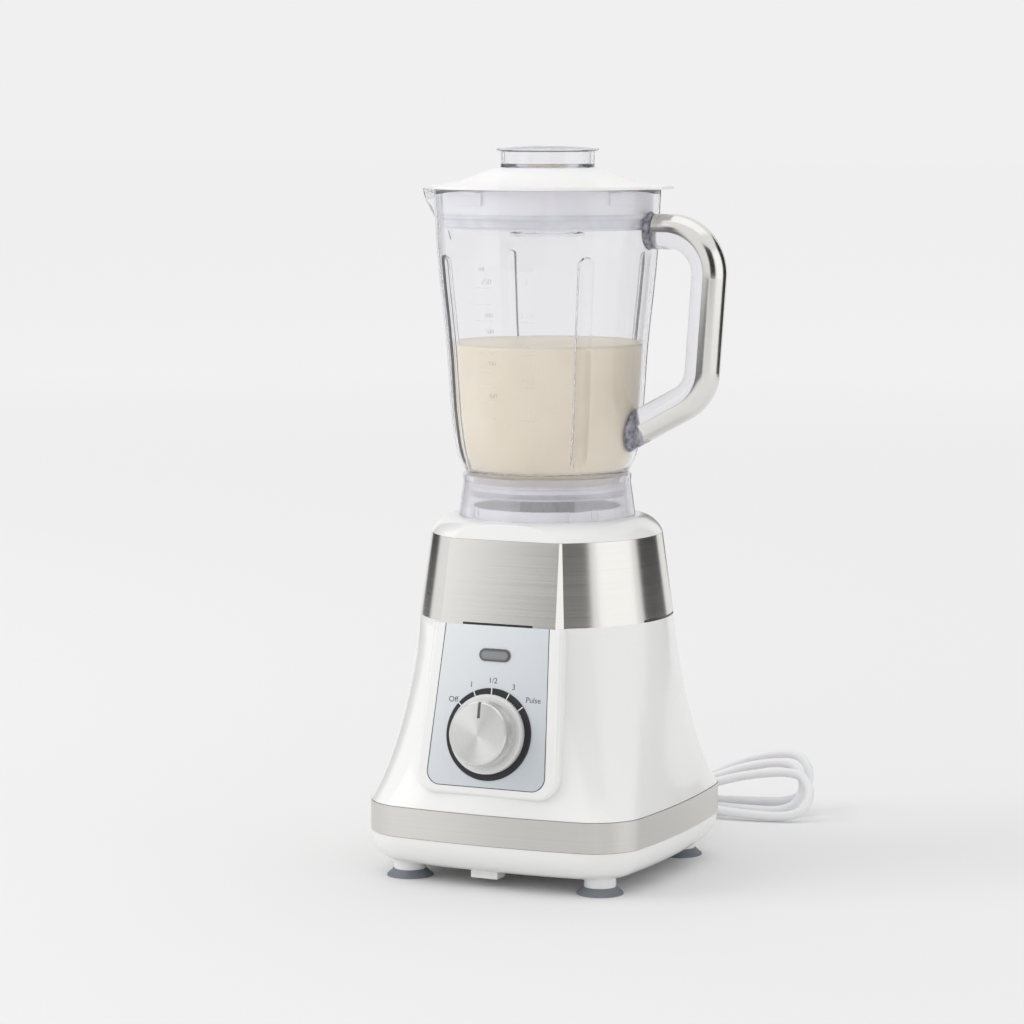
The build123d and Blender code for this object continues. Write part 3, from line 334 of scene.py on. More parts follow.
def stacked_steel():
    """Thin steel sheets pressed into a stack."""
    s = Shader("stacked_steel", (0.42, 0.42, 0.44), 0.42, 1.0)
    wave = s.add("TexWave", Scale=640.0, Distortion=0.1, Detail=0.0)
    wave.bands_direction = "Z"
    s.join(s.coordinates, wave.inputs["Vector"])
    s.vary(wave.outputs["Fac"], 0.30)
    s.bump(wave.outputs["Fac"], 0.00015, 0.6)
    return s.material


def printed_board():
    """Green circuit board with darker tracks."""
    s = Shader("printed_board", (0.03, 0.22, 0.08), 0.35, Coat_Weight=0.4)
    s.vary(s.noise(300, 2), 0.5)
    s.bump(s.noise(700, 2), 0.00005, 0.4)
    return s.material


def fruit_drink():
    """Thick beige drink with tiny bubbles and slow swirls."""
    s = Shader("fruit_drink", (0.80, 0.71, 0.58), 0.35, Subsurface_Weight=0.15, Subsurface_Scale=0.004)
    s.set("Subsurface Radius", (1.0, 0.75, 0.5))
    swirl = s.noise(26, 5)
    s.tint(s.spread(swirl, 0.0, 1.0), (0.83, 0.73, 0.53), (0.91, 0.82, 0.63))
    bubbles = s.add("TexVoronoi", Scale=520.0)
    s.join(s.coordinates, bubbles.inputs["Vector"])
    s.bump(bubbles.outputs["Distance"], 0.0002, 0.3)
    return s.material


# how far the panel leans forwards for each millimetre down it
PANEL_SLOPE = 0.195

MATERIALS = {
    "white_plastic": moulded_plastic(
        "white_plastic", (0.865, 0.865, 0.86), 0.2, Coat_Weight=0.35, Coat_Roughness=0.06
    ),
    "brushed_steel": brushed_metal(
        "brushed_steel", (0.82, 0.81, 0.775), 0.22, (5, 5, 2600), 0.0000025, Anisotropic=0.75
    ),
    "handle_steel": brushed_metal("handle_steel", (0.82, 0.81, 0.78), 0.17, (5, 5, 2600), 0.000001),
    "satin_trim": brushed_metal(
        "satin_trim", (0.72, 0.705, 0.675), 0.32, (5, 5, 2600), 0.000003, Anisotropic=0.6
    ),
    "silver_panel": silver_panel(),
    "black_plastic": moulded_plastic("black_plastic", (0.018, 0.018, 0.02), 0.3),
    "smoked_lens": smoked_lens(),
    "silver_plastic": moulded_plastic("silver_plastic", (0.74, 0.74, 0.735), 0.3, Metallic=0.15),
    "pebbled_plastic": pebbled_plastic(),
    "spun_aluminium": spun_metal("spun_aluminium", (0.82, 0.82, 0.81), "knob_cap"),
    "clear_plastic": clear_plastic(
        "clear_plastic", (0.975, 0.975, 0.985), 0.015, (0.70, 0.69, 0.81), 12.0, 0.95
    ),
    "clear_collar": clear_plastic(
        "clear_collar", (0.93, 0.925, 0.95), 0.11, (0.70, 0.68, 0.78), 14.0, 0.82
    ),
    "lid_plastic": moulded_plastic(
        "lid_plastic", (0.90, 0.90, 0.895), 0.34, Subsurface_Weight=0.15, Subsurface_Scale=0.002
    ),
    "white_seal": rubber(
        "white_seal", (0.82, 0.82, 0.83), 0.5, Subsurface_Weight=0.2, Subsurface_Scale=0.002
    ),
    "foot_rubber": rubber("foot_rubber", (0.20, 0.225, 0.25), 0.55),
    "black_rubber": rubber("black_rubber", (0.02, 0.02, 0.02), 0.6),
    "steel": machined_metal("steel", (0.62, 0.62, 0.63), 0.28),
    "blade_steel": brushed_metal("blade_steel", (0.66, 0.66, 0.67), 0.2, (900, 60, 900)),
    "zinc": machined_metal("zinc", (0.55, 0.57, 0.60), 0.4),
    "laminations": stacked_steel(),
    "copper": wound_copper(),
    "commutator_copper": machined_metal("commutator_copper", (0.72, 0.34, 0.18), 0.35),
    "bronze": machined_metal("bronze", (0.60, 0.42, 0.22), 0.38),
    "carbon": rubber("carbon", (0.03, 0.03, 0.032), 0.7),
    "die_cast": machined_metal("die_cast", (0.50, 0.51, 0.52), 0.5),
    "board": printed_board(),
    "cord_white": moulded_plastic(
        "cord_white", (0.84, 0.84, 0.85), 0.34, Subsurface_Weight=0.1, Subsurface_Scale=0.001
    ),
    "tie_strap": rubber("tie_strap", (0.72, 0.72, 0.73), 0.75),
    "plug_pins": machined_metal("plug_pins", (0.68, 0.68, 0.66), 0.22),
    "white_print": moulded_plastic("white_print", (0.85, 0.85, 0.85), 0.5),
    "pointer_paint": moulded_plastic("pointer_paint", (0.13, 0.13, 0.13), 0.45),
    "dark_print": moulded_plastic("dark_print", (0.05, 0.052, 0.058), 0.5),
    "fruit_drink": fruit_drink(),
}

FINISHES = {
    "white_plastic": ("body_shell", "top_deck", "bottom_cover"),
    "brushed_steel": ("steel_band",),
    "handle_steel": ("handle_cladding",),
    "satin_trim": ("trim_ring",),
    "silver_panel": ("control_panel",),
    "black_plastic": ("dial_ring", "rotary_switch", "brush_holders", "cooling_fan", "driven_coupler",
                      "drive_coupler"),
    "smoked_lens": ("pilot_lens",),
    "board": ("lamp_board",),
    "laminations": ("stator", "armature"),
    "copper": ("field_coils", "armature_windings"),
    "commutator_copper": ("commutator",),
    "die_cast": ("motor_bracket_top", "motor_bracket_bottom"),
    "steel": ("upper_bearing", "lower_bearing", "motor_shaft", "blade_shaft", "switch_shaft", "blade_nut",
              "bearing_housing"),
    "zinc": ("through_bolts", "mount_screws", "cover_screws"),
    "black_rubber": ("rubber_mounts", "shaft_seal"),
    "carbon": ("carbon_brushes",),
    "bronze": ("blade_bush",),
    "foot_rubber": ("suction_feet",),
    "spun_aluminium": ("knob_cap",),
    "silver_plastic": ("knob_skirt",),
    "clear_collar": ("blade_collar",),
    "clear_plastic": ("jug", "handle_core", "measuring_cap"),
    "lid_plastic": ("lid",),
    "white_seal": ("lid_seal", "jug_gasket"),
    "blade_steel": ("lower_blade", "upper_blade"),
    "cord_white": ("cord_bushing", "cord_lead", "cord_hank", "cord_tail", "plug_body"),
    "tie_strap": ("cord_tie",),
    "plug_pins": ("plug_pins",),
}
for finish, names in FINISHES.items():
    for name in names:
        set_material(name, MATERIALS[finish])


# ---------------------------------------------------------------- power cord

def between(a, b, share):
    """A (rear, height) pair between two others."""
    return tuple(p + (q - p) * share for p, q in zip(a, b))


CORD_D, CORD_LENGTH = 5.5 * mm, 1.45
HANK_MIDDLE, HANK_TURN = Vector((3.8, 164.6, 0)) * mm, math.radians(16.6)

LEAD = [
    (45, 107, 17.5), (45, 123.5, 15.4), (36.5, 138.2, 10.4), (22, 146.9, 5.6), (1.8, 147.4, 3.2),
    (-18.5, 140, 2.9),
]
TAIL = [
    (-104, 145.2, 2.8), (-120.5, 150.5, 2.8), (-131, 164, 2.8), (-131.5, 181.5, 2.8), (-121.5, 196, 3.2),
    (-105, 203.3, 5.4), (-86, 203, 6.9),
]
# each turn of the hank: how far its right end reaches, then (to the rear, height) of its upper and lower
# runs at the right end, in the tie and at the left end
TURNS = [
    (90, (7.4, 27), (-18.3, 3.0), (-6, 14.4), (-6, 8.0), (-1, 26), (-12, 3.0)),
    (85, (19.4, 31), (0.7, 3.0), (0, 15.0), (0, 7.6), (11, 28), (0, 3.0)),
    (88, (32.4, 34.6), (15.7, 6.0), (6, 14.4), (6, 8.0), (22, 29.5), (12, 3.0)),
]
FIRST_LOWER = (-23, 3.0)
LEFT_REACH, BEND = -88, 16.5
END_CORNERS = ((0.414, 0.0), (1.0, 0.293), (1.0, 0.707), (0.414, 1.0))
# how far a run has spread from the tie towards its end, at distances from the tie
RUN_SHARES = ((8, 0.0), (27, 0.35), (50, 0.8))
# where the cord joins the first turn from the lead, and leaves the last one for the tail
JOIN_ALONG, JOIN_PLACE, LEAVE_ALONG = -48, between(FIRST_LOWER, (-17, 3.0), 0.6), -76


def hank_end(reach, start, end):
    """The bend at an end of the hank, from one run to the other."""
    way = 1 if reach > 0 else -1
    return [(reach - way * BEND * (1 - out), *between(start, end, share)) for out, share in END_CORNERS]


def hank_run(start, tie, end, way):
    """A run from one end of the hank through the tie to the other end; way is 1 towards the right."""
    near = [(-way * along, *between(tie, start, share)) for along, share in reversed(RUN_SHARES)]
    far = [(way * along, *between(tie, end, share)) for along, share in RUN_SHARES]
    return near + far


def cord_points():
    """The whole cord's control points: the lead, three turns of the hank, and the tail to the plug."""
    hank, lower = [(JOIN_ALONG, *JOIN_PLACE)], FIRST_LOWER
    for reach, top_right, bottom_right, tie_top, tie_bottom, top_left, bottom_left in TURNS:
        hank += hank_end(LEFT_REACH, lower, top_left)
        hank += hank_run(top_left, tie_top, top_right, 1)
        hank += hank_end(reach, top_right, bottom_right)
        hank += hank_run(bottom_right, tie_bottom, bottom_left, -1)
        lower = bottom_left
    turned = Matrix.Rotation(HANK_TURN, 3, "Z")
    hank = [HANK_MIDDLE + turned @ (Vector(p) * mm) for p in hank + [(LEAVE_ALONG, *lower)]]
    return [Vector(p) * mm for p in LEAD] + hank + [Vector(p) * mm for p in TAIL]


curve = bpy.data.curves.new("power_cord", "CURVE")
curve.dimensions = "3D"
curve.bevel_depth = CORD_D / 2
curve.bevel_resolution = 6
curve.use_fill_caps = True
curve.resolution_u = 10
spline = curve.splines.new("NURBS")
route = cord_points()
spline.points.add(len(route) - 1)
for point, place in zip(spline.points, route):
    point.co = (*place, 1)
spline.order_u = 3
spline.use_endpoint_u = True
curve.materials.append(MATERIALS["cord_white"])
power_cord = link("power_cord", curve)
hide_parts("cord_lead", "cord_hank", "cord_tail")
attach(power_cord, "base")

# ---------------------------------------------------------------- jug

JUG_OUTLINE = ((45.2, 224.4), (49.8, 233.9), (52.7, 248.0), (56.7, 297.5), (61.6, 346.2), (63.4, 383.0))
NECK_R, NECK_END, JUG_RIM, JUG_WALL = 41.2, 217.4, 383.0, 2.4
FLUTE_HALF, FLUTE_DEPTH, FLUTE_BOTTOM, FLUTE_TOP = 3.0, 2.6, 231.0, 347.0
FLUTE_ANGLES = (45, 135, 225, 315)
SPOUT_ANGLE, SPOUT_BACK = 180.0, 57.0
# the pouring lip: height, how far its tip reaches, and half its width where it leaves the wall
SPOUT = ((356.0, 62.0, 5.0), (376.0, 74.3, 16.0), (383.0, 76.8, 19.0))
# the lip lies within so many degrees of its direction; its inside's tip is set back by so many insets
SPOUT_SPREAD, SPOUT_TIP_INSETS, SPOUT_LEAST_HALF = 25, 1.4, 0.5
# steps round the jug in degrees, with how many each way about a flute and the lip; steps up it in mm
WALL_STEP, FLUTE_STEPS, SPOUT_STEPS = 2, (0.25, 24), (0.5, 50)
HEIGHT_STEP, FLUTE_TOP_STEP, FLUTE_TOP_STEPS = 2.5, 0.4, 12
DRINK_LEVEL = 298.0


def wall_radius(height):
    """The jug's outer radius at a height, on a smooth curve through its outline."""
    points = JUG_OUTLINE
    if height <= points[0][1]:
        return points[0][0]
    slopes = [(b[0] - a[0]) / (b[1] - a[1]) for a, b in zip(points, points[1:])]
    bends = [slopes[0]] + [(p + q) / 2 for p, q in zip(slopes, slopes[1:])] + [slopes[-1]]
    for (r0, z0), (r1, z1), m0, m1 in zip(points, points[1:], bends, bends[1:]):
        if height <= z1:
            span, t = z1 - z0, (height - z0) / (z1 - z0)
            rise = (3 - 2 * t) * t * t
            return r0 + (r1 - r0) * rise + span * t * (1 - t) * ((1 - t) * m0 - t * m1)
    return points[-1][0]


def flute(radius, angle, height, half):
    """How deep the nearest flute is pressed in, as a round-ended groove that is 2 half wide."""
    aside = min(abs((angle - at + 180) % 360 - 180) for at in FLUTE_ANGLES)
    beyond = max(0.0, height - (FLUTE_TOP - half), (FLUTE_BOTTOM + half) - height)
    away = math.hypot(radius * math.radians(aside), beyond)
    return FLUTE_DEPTH * math.sqrt(1 - (away / half) ** 2) if away < half else 0.0


def spout_radius(angle, height, inset):
    """How far out the pouring lip's side lies in a direction, or 0 away from it."""
    aside = math.radians(abs((angle - SPOUT_ANGLE + 180) % 360 - 180))
    for (z0, tip0, half0), (z1, tip1, half1) in zip(SPOUT, SPOUT[1:]):
        if z0 <= height <= z1 and aside < math.radians(SPOUT_SPREAD):
            t = (height - z0) / (z1 - z0)
            tip = tip0 + (tip1 - tip0) * t - SPOUT_TIP_INSETS * inset
            half = max(half0 + (half1 - half0) * t - inset, SPOUT_LEAST_HALF)
            across, along = 1.0 - half, tip - SPOUT_BACK
            outwards = math.cos(aside) * across - math.sin(aside) * along
            return (SPOUT_BACK * across - half * along) / outwards
    return 0.0


def jug_skin(angle, height, inset):
    """The radius of the jug's outside in a direction at a height, or of its inside when inset by the wall."""
    plain = (wall_radius(height) if height > JUG_OUTLINE[0][1] else NECK_R) - inset
    pressed = plain - flute(plain, angle, height, FLUTE_HALF + 0.75 * inset)
    return min(max(pressed, spout_radius(angle, height, inset)), SPOUT[-1][1] - inset)


def close_angles(middle, step, count):
    """So many directions on each side of a middle one, a step apart."""
    return {middle + i * step for i in range(-count, count + 1)}


def jug_angles():
    """Directions round the jug, close together at the flutes and the lip."""
    found = {float(a) for a in range(0, 360, WALL_STEP)}
    for at in FLUTE_ANGLES:
        found |= close_angles(at, *FLUTE_STEPS)
    found |= close_angles(SPOUT_ANGLE, *SPOUT_STEPS)
    return sorted(a % 360 for a in found)


def jug_heights(low, high):
    """Heights up the jug, close together at the flutes' round tops."""
    count = int((high - low) / HEIGHT_STEP)
    heights = {low + (high - low) * i / count for i in range(count + 1)}
    tops = (FLUTE_TOP - FLUTE_TOP_STEP * i for i in range(FLUTE_TOP_STEPS))
    return sorted(heights | {z for z in tops if low < z < high})


def around(radii, height):
    """A ring of points in metres at one height, with a radius for each of the jug's directions."""
    return [
        Vector((r * math.cos(math.radians(a)), r * math.sin(math.radians(a)), height)) * mm
        for a, r in zip(ANGLES, radii)
    ]


def round_ring(radius, height):
    """A plain round ring."""
    return around([radius] * len(ANGLES), height)


def skin_ring(height, inset, shift=0.0, drop=0.0):
    """A ring of the jug's skin at a height, moved outwards by shift and down by drop."""
    return around([jug_skin(a, height, inset) + shift for a in ANGLES], height - drop)


def lathe(rings):
    """Points and faces of a skin that joins closed rings of as many points each, in order."""
    count = len(rings[0])
    faces = []
    for level in range(len(rings) - 1):
        low, high = level * count, (level + 1) * count
        faces += [(low + i, low + (i + 1) % count, high + (i + 1) % count, high + i) for i in range(count)]
    return [p for ring in rings for p in ring], faces


ANGLES = jug_angles()
# the wall starts at the shoulder, above the neck; the rim's edges are rounded
SHOULDER, INNER_SHOULDER, RIM_ROUND = JUG_OUTLINE[0][1], JUG_OUTLINE[0][1] + 2.2, 0.5

jug_rings = [round_ring(NECK_R, z) for z in (NECK_END, SHOULDER - 0.3)]
jug_rings += [skin_ring(z, 0) for z in jug_heights(SHOULDER + 0.01, JUG_RIM - RIM_ROUND)]
jug_rings += [skin_ring(JUG_RIM, 0, -RIM_ROUND), skin_ring(JUG_RIM, JUG_WALL, RIM_ROUND)]
jug_rings += [skin_ring(z, JUG_WALL) for z in reversed(jug_heights(INNER_SHOULDER, JUG_RIM - RIM_ROUND))]
jug_rings += [round_ring(NECK_R - JUG_WALL, z) for z in (SHOULDER + 2, NECK_END)]
jug_body = mesh_object("jug_body", *lathe(jug_rings + jug_rings[:1]), MATERIALS["clear_plastic"])
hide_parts("jug")
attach(jug_body, "jug")

# the drink fills the gasket's opening below the neck, then the jug up to a level, just inside its wall,
# with a low edge where it wets the plastic
DRINK_GAP = 0.12
GASKET_OPENING = ((17.4, 215.7), (33.0, 215.7), (35.6, 216.3), (35.8, NECK_END + 0.2))
WETTED_EDGE = ((0.6, 0.35), (1.6, 0.55), (6, 0.6), (20, 0.6))
drink_rings = [round_ring(radius, z) for radius, z in GASKET_OPENING]
drink_rings += [round_ring(NECK_R - JUG_WALL - DRINK_GAP, z) for z in (NECK_END + 0.3, SHOULDER + 1.9)]
drink_rings += [skin_ring(z, JUG_WALL, -DRINK_GAP) for z in jug_heights(INNER_SHOULDER, DRINK_LEVEL)]
drink_rings += [skin_ring(DRINK_LEVEL, JUG_WALL, -DRINK_GAP - inward, drop) for inward, drop in WETTED_EDGE]
drink_points, drink_faces = lathe(drink_rings)
bottom_face, top_face = range(len(ANGLES)), range(len(drink_points) - len(ANGLES), len(drink_points))
drink_faces += [tuple(top_face), tuple(reversed(bottom_face))]
drink = mesh_object("drink", drink_points, drink_faces, MATERIALS["fruit_drink"])
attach(drink, "jug")


# ---------------------------------------------------------------- lettering

def lettering(text, size):
    """Flat outlines of a word about its own middle, as vertices and faces in millimetres."""
    data = bpy.data.curves.new("word", "FONT")
    data.body, data.size, data.align_x, data.align_y = text, size, "CENTER", "CENTER"
    word = link("word", data)
    bpy.context.view_layer.update()
    mesh = bpy.data.meshes.new_from_object(word.evaluated_get(bpy.context.evaluated_depsgraph_get()))
    found = [tuple(v.co) for v in mesh.vertices], [tuple(f.vertices) for f in mesh.polygons]
    bpy.data.objects.remove(word)
    bpy.data.curves.remove(data)
    bpy.data.meshes.remove(mesh)
    return found


def bar(width, height):
    """A flat rectangle about its own middle, split along its width."""
    steps = max(1, round(width / 1.5))
    xs = [width * (i / steps - 0.5) for i in range(steps + 1)]
    points = [(x, y, 0) for y in (-height / 2, height / 2) for x in xs]
    return points, [(i, i + 1, steps + 2 + i, steps + 1 + i) for i in range(steps)]


def raised(name, shapes, place, thickness, material, body):
    """One thick piece from flat shapes, each (outline, x, y), laid on a surface by place(x, y, out)."""
    work = bmesh.new()
    for (points, faces), x0, y0 in shapes:
        verts = [work.verts.new((x + x0, y + y0, 0)) for x, y, _ in points]
        for face in faces:
            work.faces.new([verts[i] for i in face])
    bmesh.ops.remove_doubles(work, verts=work.verts, dist=1e-4)
    bmesh.ops.recalc_face_normals(work, faces=work.faces)
    grown = bmesh.ops.extrude_face_region(work, geom=work.faces[:], use_keep_orig=True)
    for element in grown["geom"]:
        if isinstance(element, bmesh.types.BMVert):
            element.co.z = thickness
    for vert in work.verts:
        vert.co = place(vert.co.x, vert.co.y, vert.co.z) * mm
    bmesh.ops.recalc_face_normals(work, faces=work.faces)
    mesh = bpy.data.meshes.new(name)
    work.to_mesh(mesh)
    work.free()
    mesh.materials.append(material)
    piece = link(name, mesh)
    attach(piece, body)


# how far marks sink into the surface they lie on
JUG_SINK, RING_SINK = 0.03, 0.02


def on_jug(direction):
    """Lays a shape on the jug's outside, in a direction from -Y towards +X; y is a height."""
    def place(x, y, out):
        radius = wall_radius(y) + out - JUG_SINK
        turn = math.radians(direction) + x / wall_radius(y)
        return Vector((radius * math.sin(turn), -radius * math.cos(turn), y))
    return place


def jug_scale(name, direction, words, lines):
    """A raised scale on the jug: words as (text, size, x, height) and lines as (width, height)."""
    shapes = [(lettering(text, size), x, height) for text, size, x, height in words]
    shapes += [(bar(width, LINE_HEIGHT), 0, height) for width, height in lines]
    raised(name, shapes, on_jug(direction), SCALE_THICK, MATERIALS["clear_plastic"], "jug")


HEADING, VALUE, LINE_HEIGHT, SCALE_THICK = 4.2, 3.6, 0.5, 0.3
UNIT_HEIGHT, FULL_HEIGHT, UNDER_VALUE = 340.5, 333.5, 3.4
ML_VALUES = (("600", 315.0), ("500", 306.0), ("400", 288.5), ("300", 270.5))
CUP_VALUES = (("2 1/2", 315.0), ("2", 297.0), ("1 1/2", 279.0), ("1", 261.0))
jug_scale(
    "jug_scale_ml", -12.0,
    [("ml", HEADING, 0, UNIT_HEIGHT), ("750", HEADING, 3.0, FULL_HEIGHT)]
    + [(word, VALUE, 3.0, height) for word, height in ML_VALUES],
    [(9.0, 330.0 - 9.0 * i) for i in range(9)],
)
jug_scale(
    "jug_scale_cups", 13.3,
    [("cups", HEADING, 0, UNIT_HEIGHT), ("3", HEADING, 0, FULL_HEIGHT)]
    + [(word, VALUE, 0, height) for word, height in CUP_VALUES],
    [(8.0, height - UNDER_VALUE) for _, height in CUP_VALUES],
)


# ---------------------------------------------------------------- dial and knob

PANEL_TOP_Y, BAND_TOP, BAND_BOTTOM, INSERT_BOTTOM = 57.4, 191.4, 145.4, 58.0
KNOB_HEIGHT, RING_INNER, RING_OUTER, RING_THICK = 87.0, 21.4, 25.4, 0.8
PANEL_OUT = Vector((0, -1, PANEL_SLOPE)).normalized()
PANEL_UP = Vector((0, PANEL_SLOPE, 1)).normalized()
KNOB_MIDDLE = Vector((0, -(PANEL_TOP_Y + (BAND_TOP - KNOB_HEIGHT) * PANEL_SLOPE), KNOB_HEIGHT))


def on_panel(x, y, out):
    """A point on the leaning panel, with x across and y up it from the knob's middle."""
    return KNOB_MIDDLE + Vector((x, 0, 0)) + PANEL_UP * y + PANEL_OUT * out


def from_panel(height):
    """Lays a shape at a height in front of the leaning panel."""
    def place(x, y, out):
        return on_panel(x, y, out + height)
    return place


def up_panel(height):
    """How far up the leaning panel a height lies from the knob's middle."""
    return (height - KNOB_HEIGHT) * math.hypot(1, PANEL_SLOPE)


def turned(shape, angle):
    """A flat shape turned clockwise about its own middle."""
    points, faces = shape
    c, s = math.cos(math.radians(-angle)), math.sin(math.radians(-angle))
    return [(x * c - y * s, x * s + y * c, z) for x, y, z in points], faces


def disc_ring(inner, outer):
    """A flat ring about its own middle."""
    turns = [2 * math.pi * i / RING_STEPS for i in range(RING_STEPS)]
    points = [(r * math.cos(t), r * math.sin(t), 0) for r in (inner, outer) for t in turns]
    after = [(i + 1) % RING_STEPS for i in range(RING_STEPS)]
    return points, [(i, j, RING_STEPS + j, RING_STEPS + i) for i, j in enumerate(after)]


STOPS = ((-50, "Off"), (-25, "1"), (0, "1/2"), (25, "3"), (50, "Pulse"))
LABEL_SIZE, LABEL_REACH, WORD_REACH, TICK_WIDTH, RING_STEPS = 4.3, 30.2, 3.2, 0.6, 96
# how far a label is moved to the right and down
LABEL_SHIFT = {"Off": (2.0, 3.2)}
PLAIN_SHIFT = (0.0, 0.8)
labels, ticks = [], []
for angle, word in STOPS:
    across, up = math.sin(math.radians(angle)), math.cos(math.radians(angle))
    reach = LABEL_REACH + (WORD_REACH * abs(across) if len(word) > 1 else 0)
    shift, drop = LABEL_SHIFT.get(word, PLAIN_SHIFT)
    labels.append((lettering(word, LABEL_SIZE), reach * across + shift, reach * up - drop))
    middle = (RING_INNER + RING_OUTER) / 2
    tick = turned(bar(TICK_WIDTH, RING_OUTER - RING_INNER), angle)
    ticks.append((tick, middle * across, middle * up))
raised("dial_labels", labels, on_panel, 0.05, MATERIALS["dark_print"], "base")
raised("dial_ticks", ticks, from_panel(RING_THICK - RING_SINK), 0.06, MATERIALS["white_print"],
       "base")

# on the knob: a light flange just above the ring, a steel step up to the cap, paint in the pointer's groove
for name, shape, y, height, thick, finish, slot in (
    ("knob_flange", disc_ring(20.6, 21.9), 0, 1.1, 2.5, "silver_plastic", "spun_aluminium"),
    ("knob_step", disc_ring(17.0, 18.6), 0, 4.4, 4.6, "spun_aluminium", "spun_aluminium"),
    ("knob_pointer", bar(1.4, 8.8), 12.7, 14.42, 0.12, "pointer_paint", "black_plastic"),
):
    raised(name, [(shape, 0, y)], from_panel(height), thick, MATERIALS[finish], "knob")

# the dark seam round the panel insert: its outline as a thin strip, open at the band
SEAM, SEAM_THICK, SEAM_TOP, SEAM_BOTTOM = 0.45, 0.03, up_panel(BAND_BOTTOM), up_panel(INSERT_BOTTOM)
SEAM_HALF_TOP, SEAM_HALF_BOTTOM, SEAM_CORNER, CORNER_SHARE, CORNER_STEPS = 31.35, 35.42, 7.95, 0.92, 10


def seam_line(inset):
    """The insert's outline down one side, round its two lower corners and up the other."""
    lean = math.atan2(SEAM_HALF_BOTTOM - SEAM_HALF_TOP, SEAM_TOP - SEAM_BOTTOM)
    half = SEAM_HALF_BOTTOM - SEAM_CORNER * math.tan((math.pi / 2 - lean) / 2 + lean) * CORNER_SHARE
    radius = SEAM_CORNER - inset
    line = [(-SEAM_HALF_TOP + inset, SEAM_TOP)]
    for side, start, end in (
        (-1, math.pi + lean, 1.5 * math.pi), (1, 1.5 * math.pi, 2 * math.pi - lean)
    ):
        for step in range(CORNER_STEPS + 1):
            turn = start + (end - start) * step / CORNER_STEPS
            line.append((
                side * half + radius * math.cos(turn), SEAM_BOTTOM + SEAM_CORNER + radius * math.sin(turn)
            ))
    line.append((SEAM_HALF_TOP - inset, SEAM_TOP))
    return line


outer_line, inner_line = seam_line(0), seam_line(SEAM)
seam_count = len(outer_line)
seam_points = [(x, y, 0) for x, y in outer_line + inner_line]
seam_faces = [(i, i + 1, seam_count + i + 1, seam_count + i) for i in range(seam_count - 1)]
raised("panel_seam", [((seam_points, seam_faces), 0, 0)], on_panel, SEAM_THICK, MATERIALS["dark_print"],
       "base")


# ---------------------------------------------------------------- shadow gaps and handle pads

BAND_BOTTOM_R, NOTCH_SHADOW_WIDTH, NOTCH_SHADOW_HEIGHT, NOTCH_SHADOW_INSET, NOTCH_SHADOW_THICK = 71.5, 41.6, 1.2, 0.9, 0.5


def on_cone(direction):
    """Lays a shape in the band's lower edge, in a direction from -Y towards +X; y is a height."""
    def place(x, y, out):
        radius, turn = BAND_BOTTOM_R + out - NOTCH_SHADOW_INSET, math.radians(direction) + x / BAND_BOTTOM_R
        return Vector((radius * math.sin(turn), -radius * math.cos(turn), y))
    return place


def behind_facet(x, y, out):
    """Lays a shape in the lower edge of the band's front facet; y is a height."""
    return on_panel(x, up_panel(y), out - NOTCH_SHADOW_INSET)


# black strips just inside the band's lower edge on four sides: painted shadow that stands in for the shade in
# the notches there
notch_shadow_strip = (bar(NOTCH_SHADOW_WIDTH, NOTCH_SHADOW_HEIGHT), 0, BAND_BOTTOM + NOTCH_SHADOW_HEIGHT / 2)
for name, place in (
    ("gap_shadow_front", behind_facet), ("gap_shadow_right", on_cone(90)), ("gap_shadow_rear", on_cone(180)),
    ("gap_shadow_left", on_cone(270)),
):
    raised(name, [notch_shadow_strip], place, NOTCH_SHADOW_THICK, MATERIALS["black_plastic"], "base")

HANDLE_DIRECTION, PAD_RINGS, PAD_TURNS, PAD_THICK, PAD_EDGE, PAD_BACK = 90, 9, 48, 3.6, 0.5, -0.3


def handle_pad(name, height, half_wide, half_high):
    """A domed pad of pebbled plastic round the place where the handle meets the jug's wall."""
    place = on_jug(HANDLE_DIRECTION)
    turns = [2 * math.pi * i / PAD_TURNS for i in range(PAD_TURNS)]
    rings = []
    for ring in range(1, PAD_RINGS + 1):
        share = ring / PAD_RINGS
        out = PAD_THICK * math.sqrt(1 - share**4) - PAD_EDGE * share
        wide, high = share * half_wide, share * half_high
        rings.append([place(wide * math.cos(t), height + high * math.sin(t), out) * mm for t in turns])
    points, faces = lathe(rings)
    back, rim = len(points), len(points) - PAD_TURNS
    points.append(place(0, height, PAD_BACK) * mm)
    faces.append(tuple(range(PAD_TURNS)))
    faces += [(rim + i, rim + (i + 1) % PAD_TURNS, back) for i in range(PAD_TURNS)]
    pad = mesh_object(name, points, faces, MATERIALS["pebbled_plastic"])
    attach(pad, "jug")


handle_pad("handle_pad_upper", 360.6, 10.5, 10.6)
handle_pad("handle_pad_lower", 249.8, 11.0, 12.2)


# ---------------------------------------------------------------- floor and light

def floor_paint():
    """Matt white paper that grows paler away from the object, so that it meets the backdrop unseen."""
    s = Shader("floor", (0.8, 0.8, 0.8), 0.6, Specular_IOR_Level=0.0)
    away = s.vector("LENGTH", s.coordinates, output="Value")
    fade = s.add("MapRange", From_Min=0.4, From_Max=4.0)
    s.join(away, fade.inputs["Value"])
    s.tint(fade.outputs["Result"], (0.82, 0.82, 0.82), (0.995, 0.995, 0.995))
    return s.material


FLOOR_REACH = 30
floor_points = [(x * FLOOR_REACH, y * FLOOR_REACH, 0) for x, y in ((-1, -1), (1, -1), (1, 1), (-1, 1))]
floor = mesh_object("floor", floor_points, [(0, 1, 2, 3)], floor_paint(), smooth=False)


AIM = Vector((0, 0, 0.2))


def area_light(name, place, size, power):
    """A white lamp that points at the middle of the object's base."""
    light = bpy.data.lights.new(name, "AREA")
    light.shape, light.size, light.size_y = "RECTANGLE", *size
    light.energy = power
    lamp = link(name, light)
    lamp.location = place
    lamp.rotation_euler = (AIM - Vector(place)).to_track_quat("-Z", "Y").to_euler()


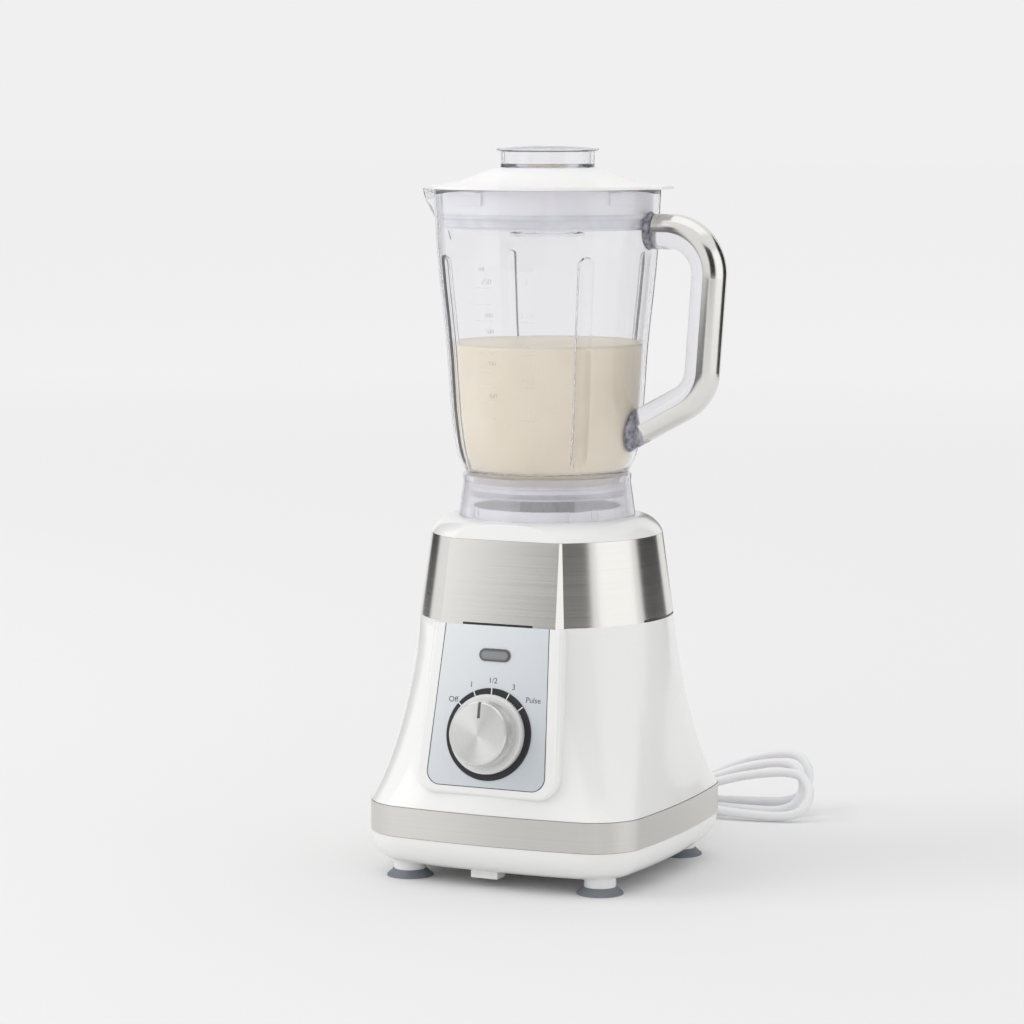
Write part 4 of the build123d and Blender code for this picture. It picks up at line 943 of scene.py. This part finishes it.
area_light("key_left", (-1.7, -1.2, 1.5), (1.4, 1.8), 14)
area_light("fill_right", (1.9, 0.1, 0.7), (1.5, 1.4), 1.9)
area_light("sheen_left", (-1.0, -1.37, 0.6), (0.62, 1.2), 0.8)
area_light("top", (0.0, 0.3, 2.4), (2.6, 2.2), 5)

UP, CARD_DISTANCE = Vector((0, 0, 1)), 1.6


def dark_card(name, start, end, low, high, fade):
    """An upright dark studio card, soft at both sides, that only reflections show.

    It reaches from one azimuth to another, in degrees from -Y towards +X, and from one height to another.
    """
    middle, half = math.radians((start + end) / 2), CARD_DISTANCE * math.tan(math.radians(end - start) / 2)
    out = Vector((math.sin(middle), -math.cos(middle), 0))
    along = Vector((math.cos(middle), math.sin(middle), 0))
    left, right = out * CARD_DISTANCE - along * half, out * CARD_DISTANCE + along * half
    corners = [left + UP * low, right + UP * low, right + UP * high, left + UP * high]
    s = Shader(name, (0.01, 0.01, 0.01), 0.9)
    aside = s.math("ABSOLUTE", s.vector("DOT_PRODUCT", s.coordinates, tuple(along), output="Value"))
    soft = s.add("MapRange", From_Min=half, From_Max=half - fade)
    s.join(aside, soft.inputs["Value"])
    s.join(soft.outputs["Result"], s.shader.inputs["Alpha"])
    card = mesh_object(name, corners, [(0, 1, 2, 3)], s.material, smooth=False)
    card.visible_camera = card.visible_diffuse = card.visible_shadow = False
    card.visible_transmission = card.visible_volume_scatter = False


for card in (
    ("card_front", -26.0, -10.0, 0.22, 1.4, 0.16), ("card_right", 30.0, 66.0, 0.2, 1.4, 0.10),
    ("card_low", -28.0, 26.0, 0.0, 0.2, 0.14), ("card_rear", 120.0, 163.0, 0.0, 1.4, 0.10),
    ("card_back", 184.0, 200.0, 0.0, 0.6, 0.08), ("card_left", -132.0, -105.0, 0.0, 1.4, 0.06),
):
    dark_card(*card)

world = bpy.data.worlds.new("studio")
bpy.context.scene.world = world
world.use_nodes = True
world.node_tree.nodes["Background"].inputs["Color"].default_value = (1.0, 1.0, 1.0, 1)
world.node_tree.nodes["Background"].inputs["Strength"].default_value = 0.87

bpy.context.scene.view_settings.view_transform = "Standard"
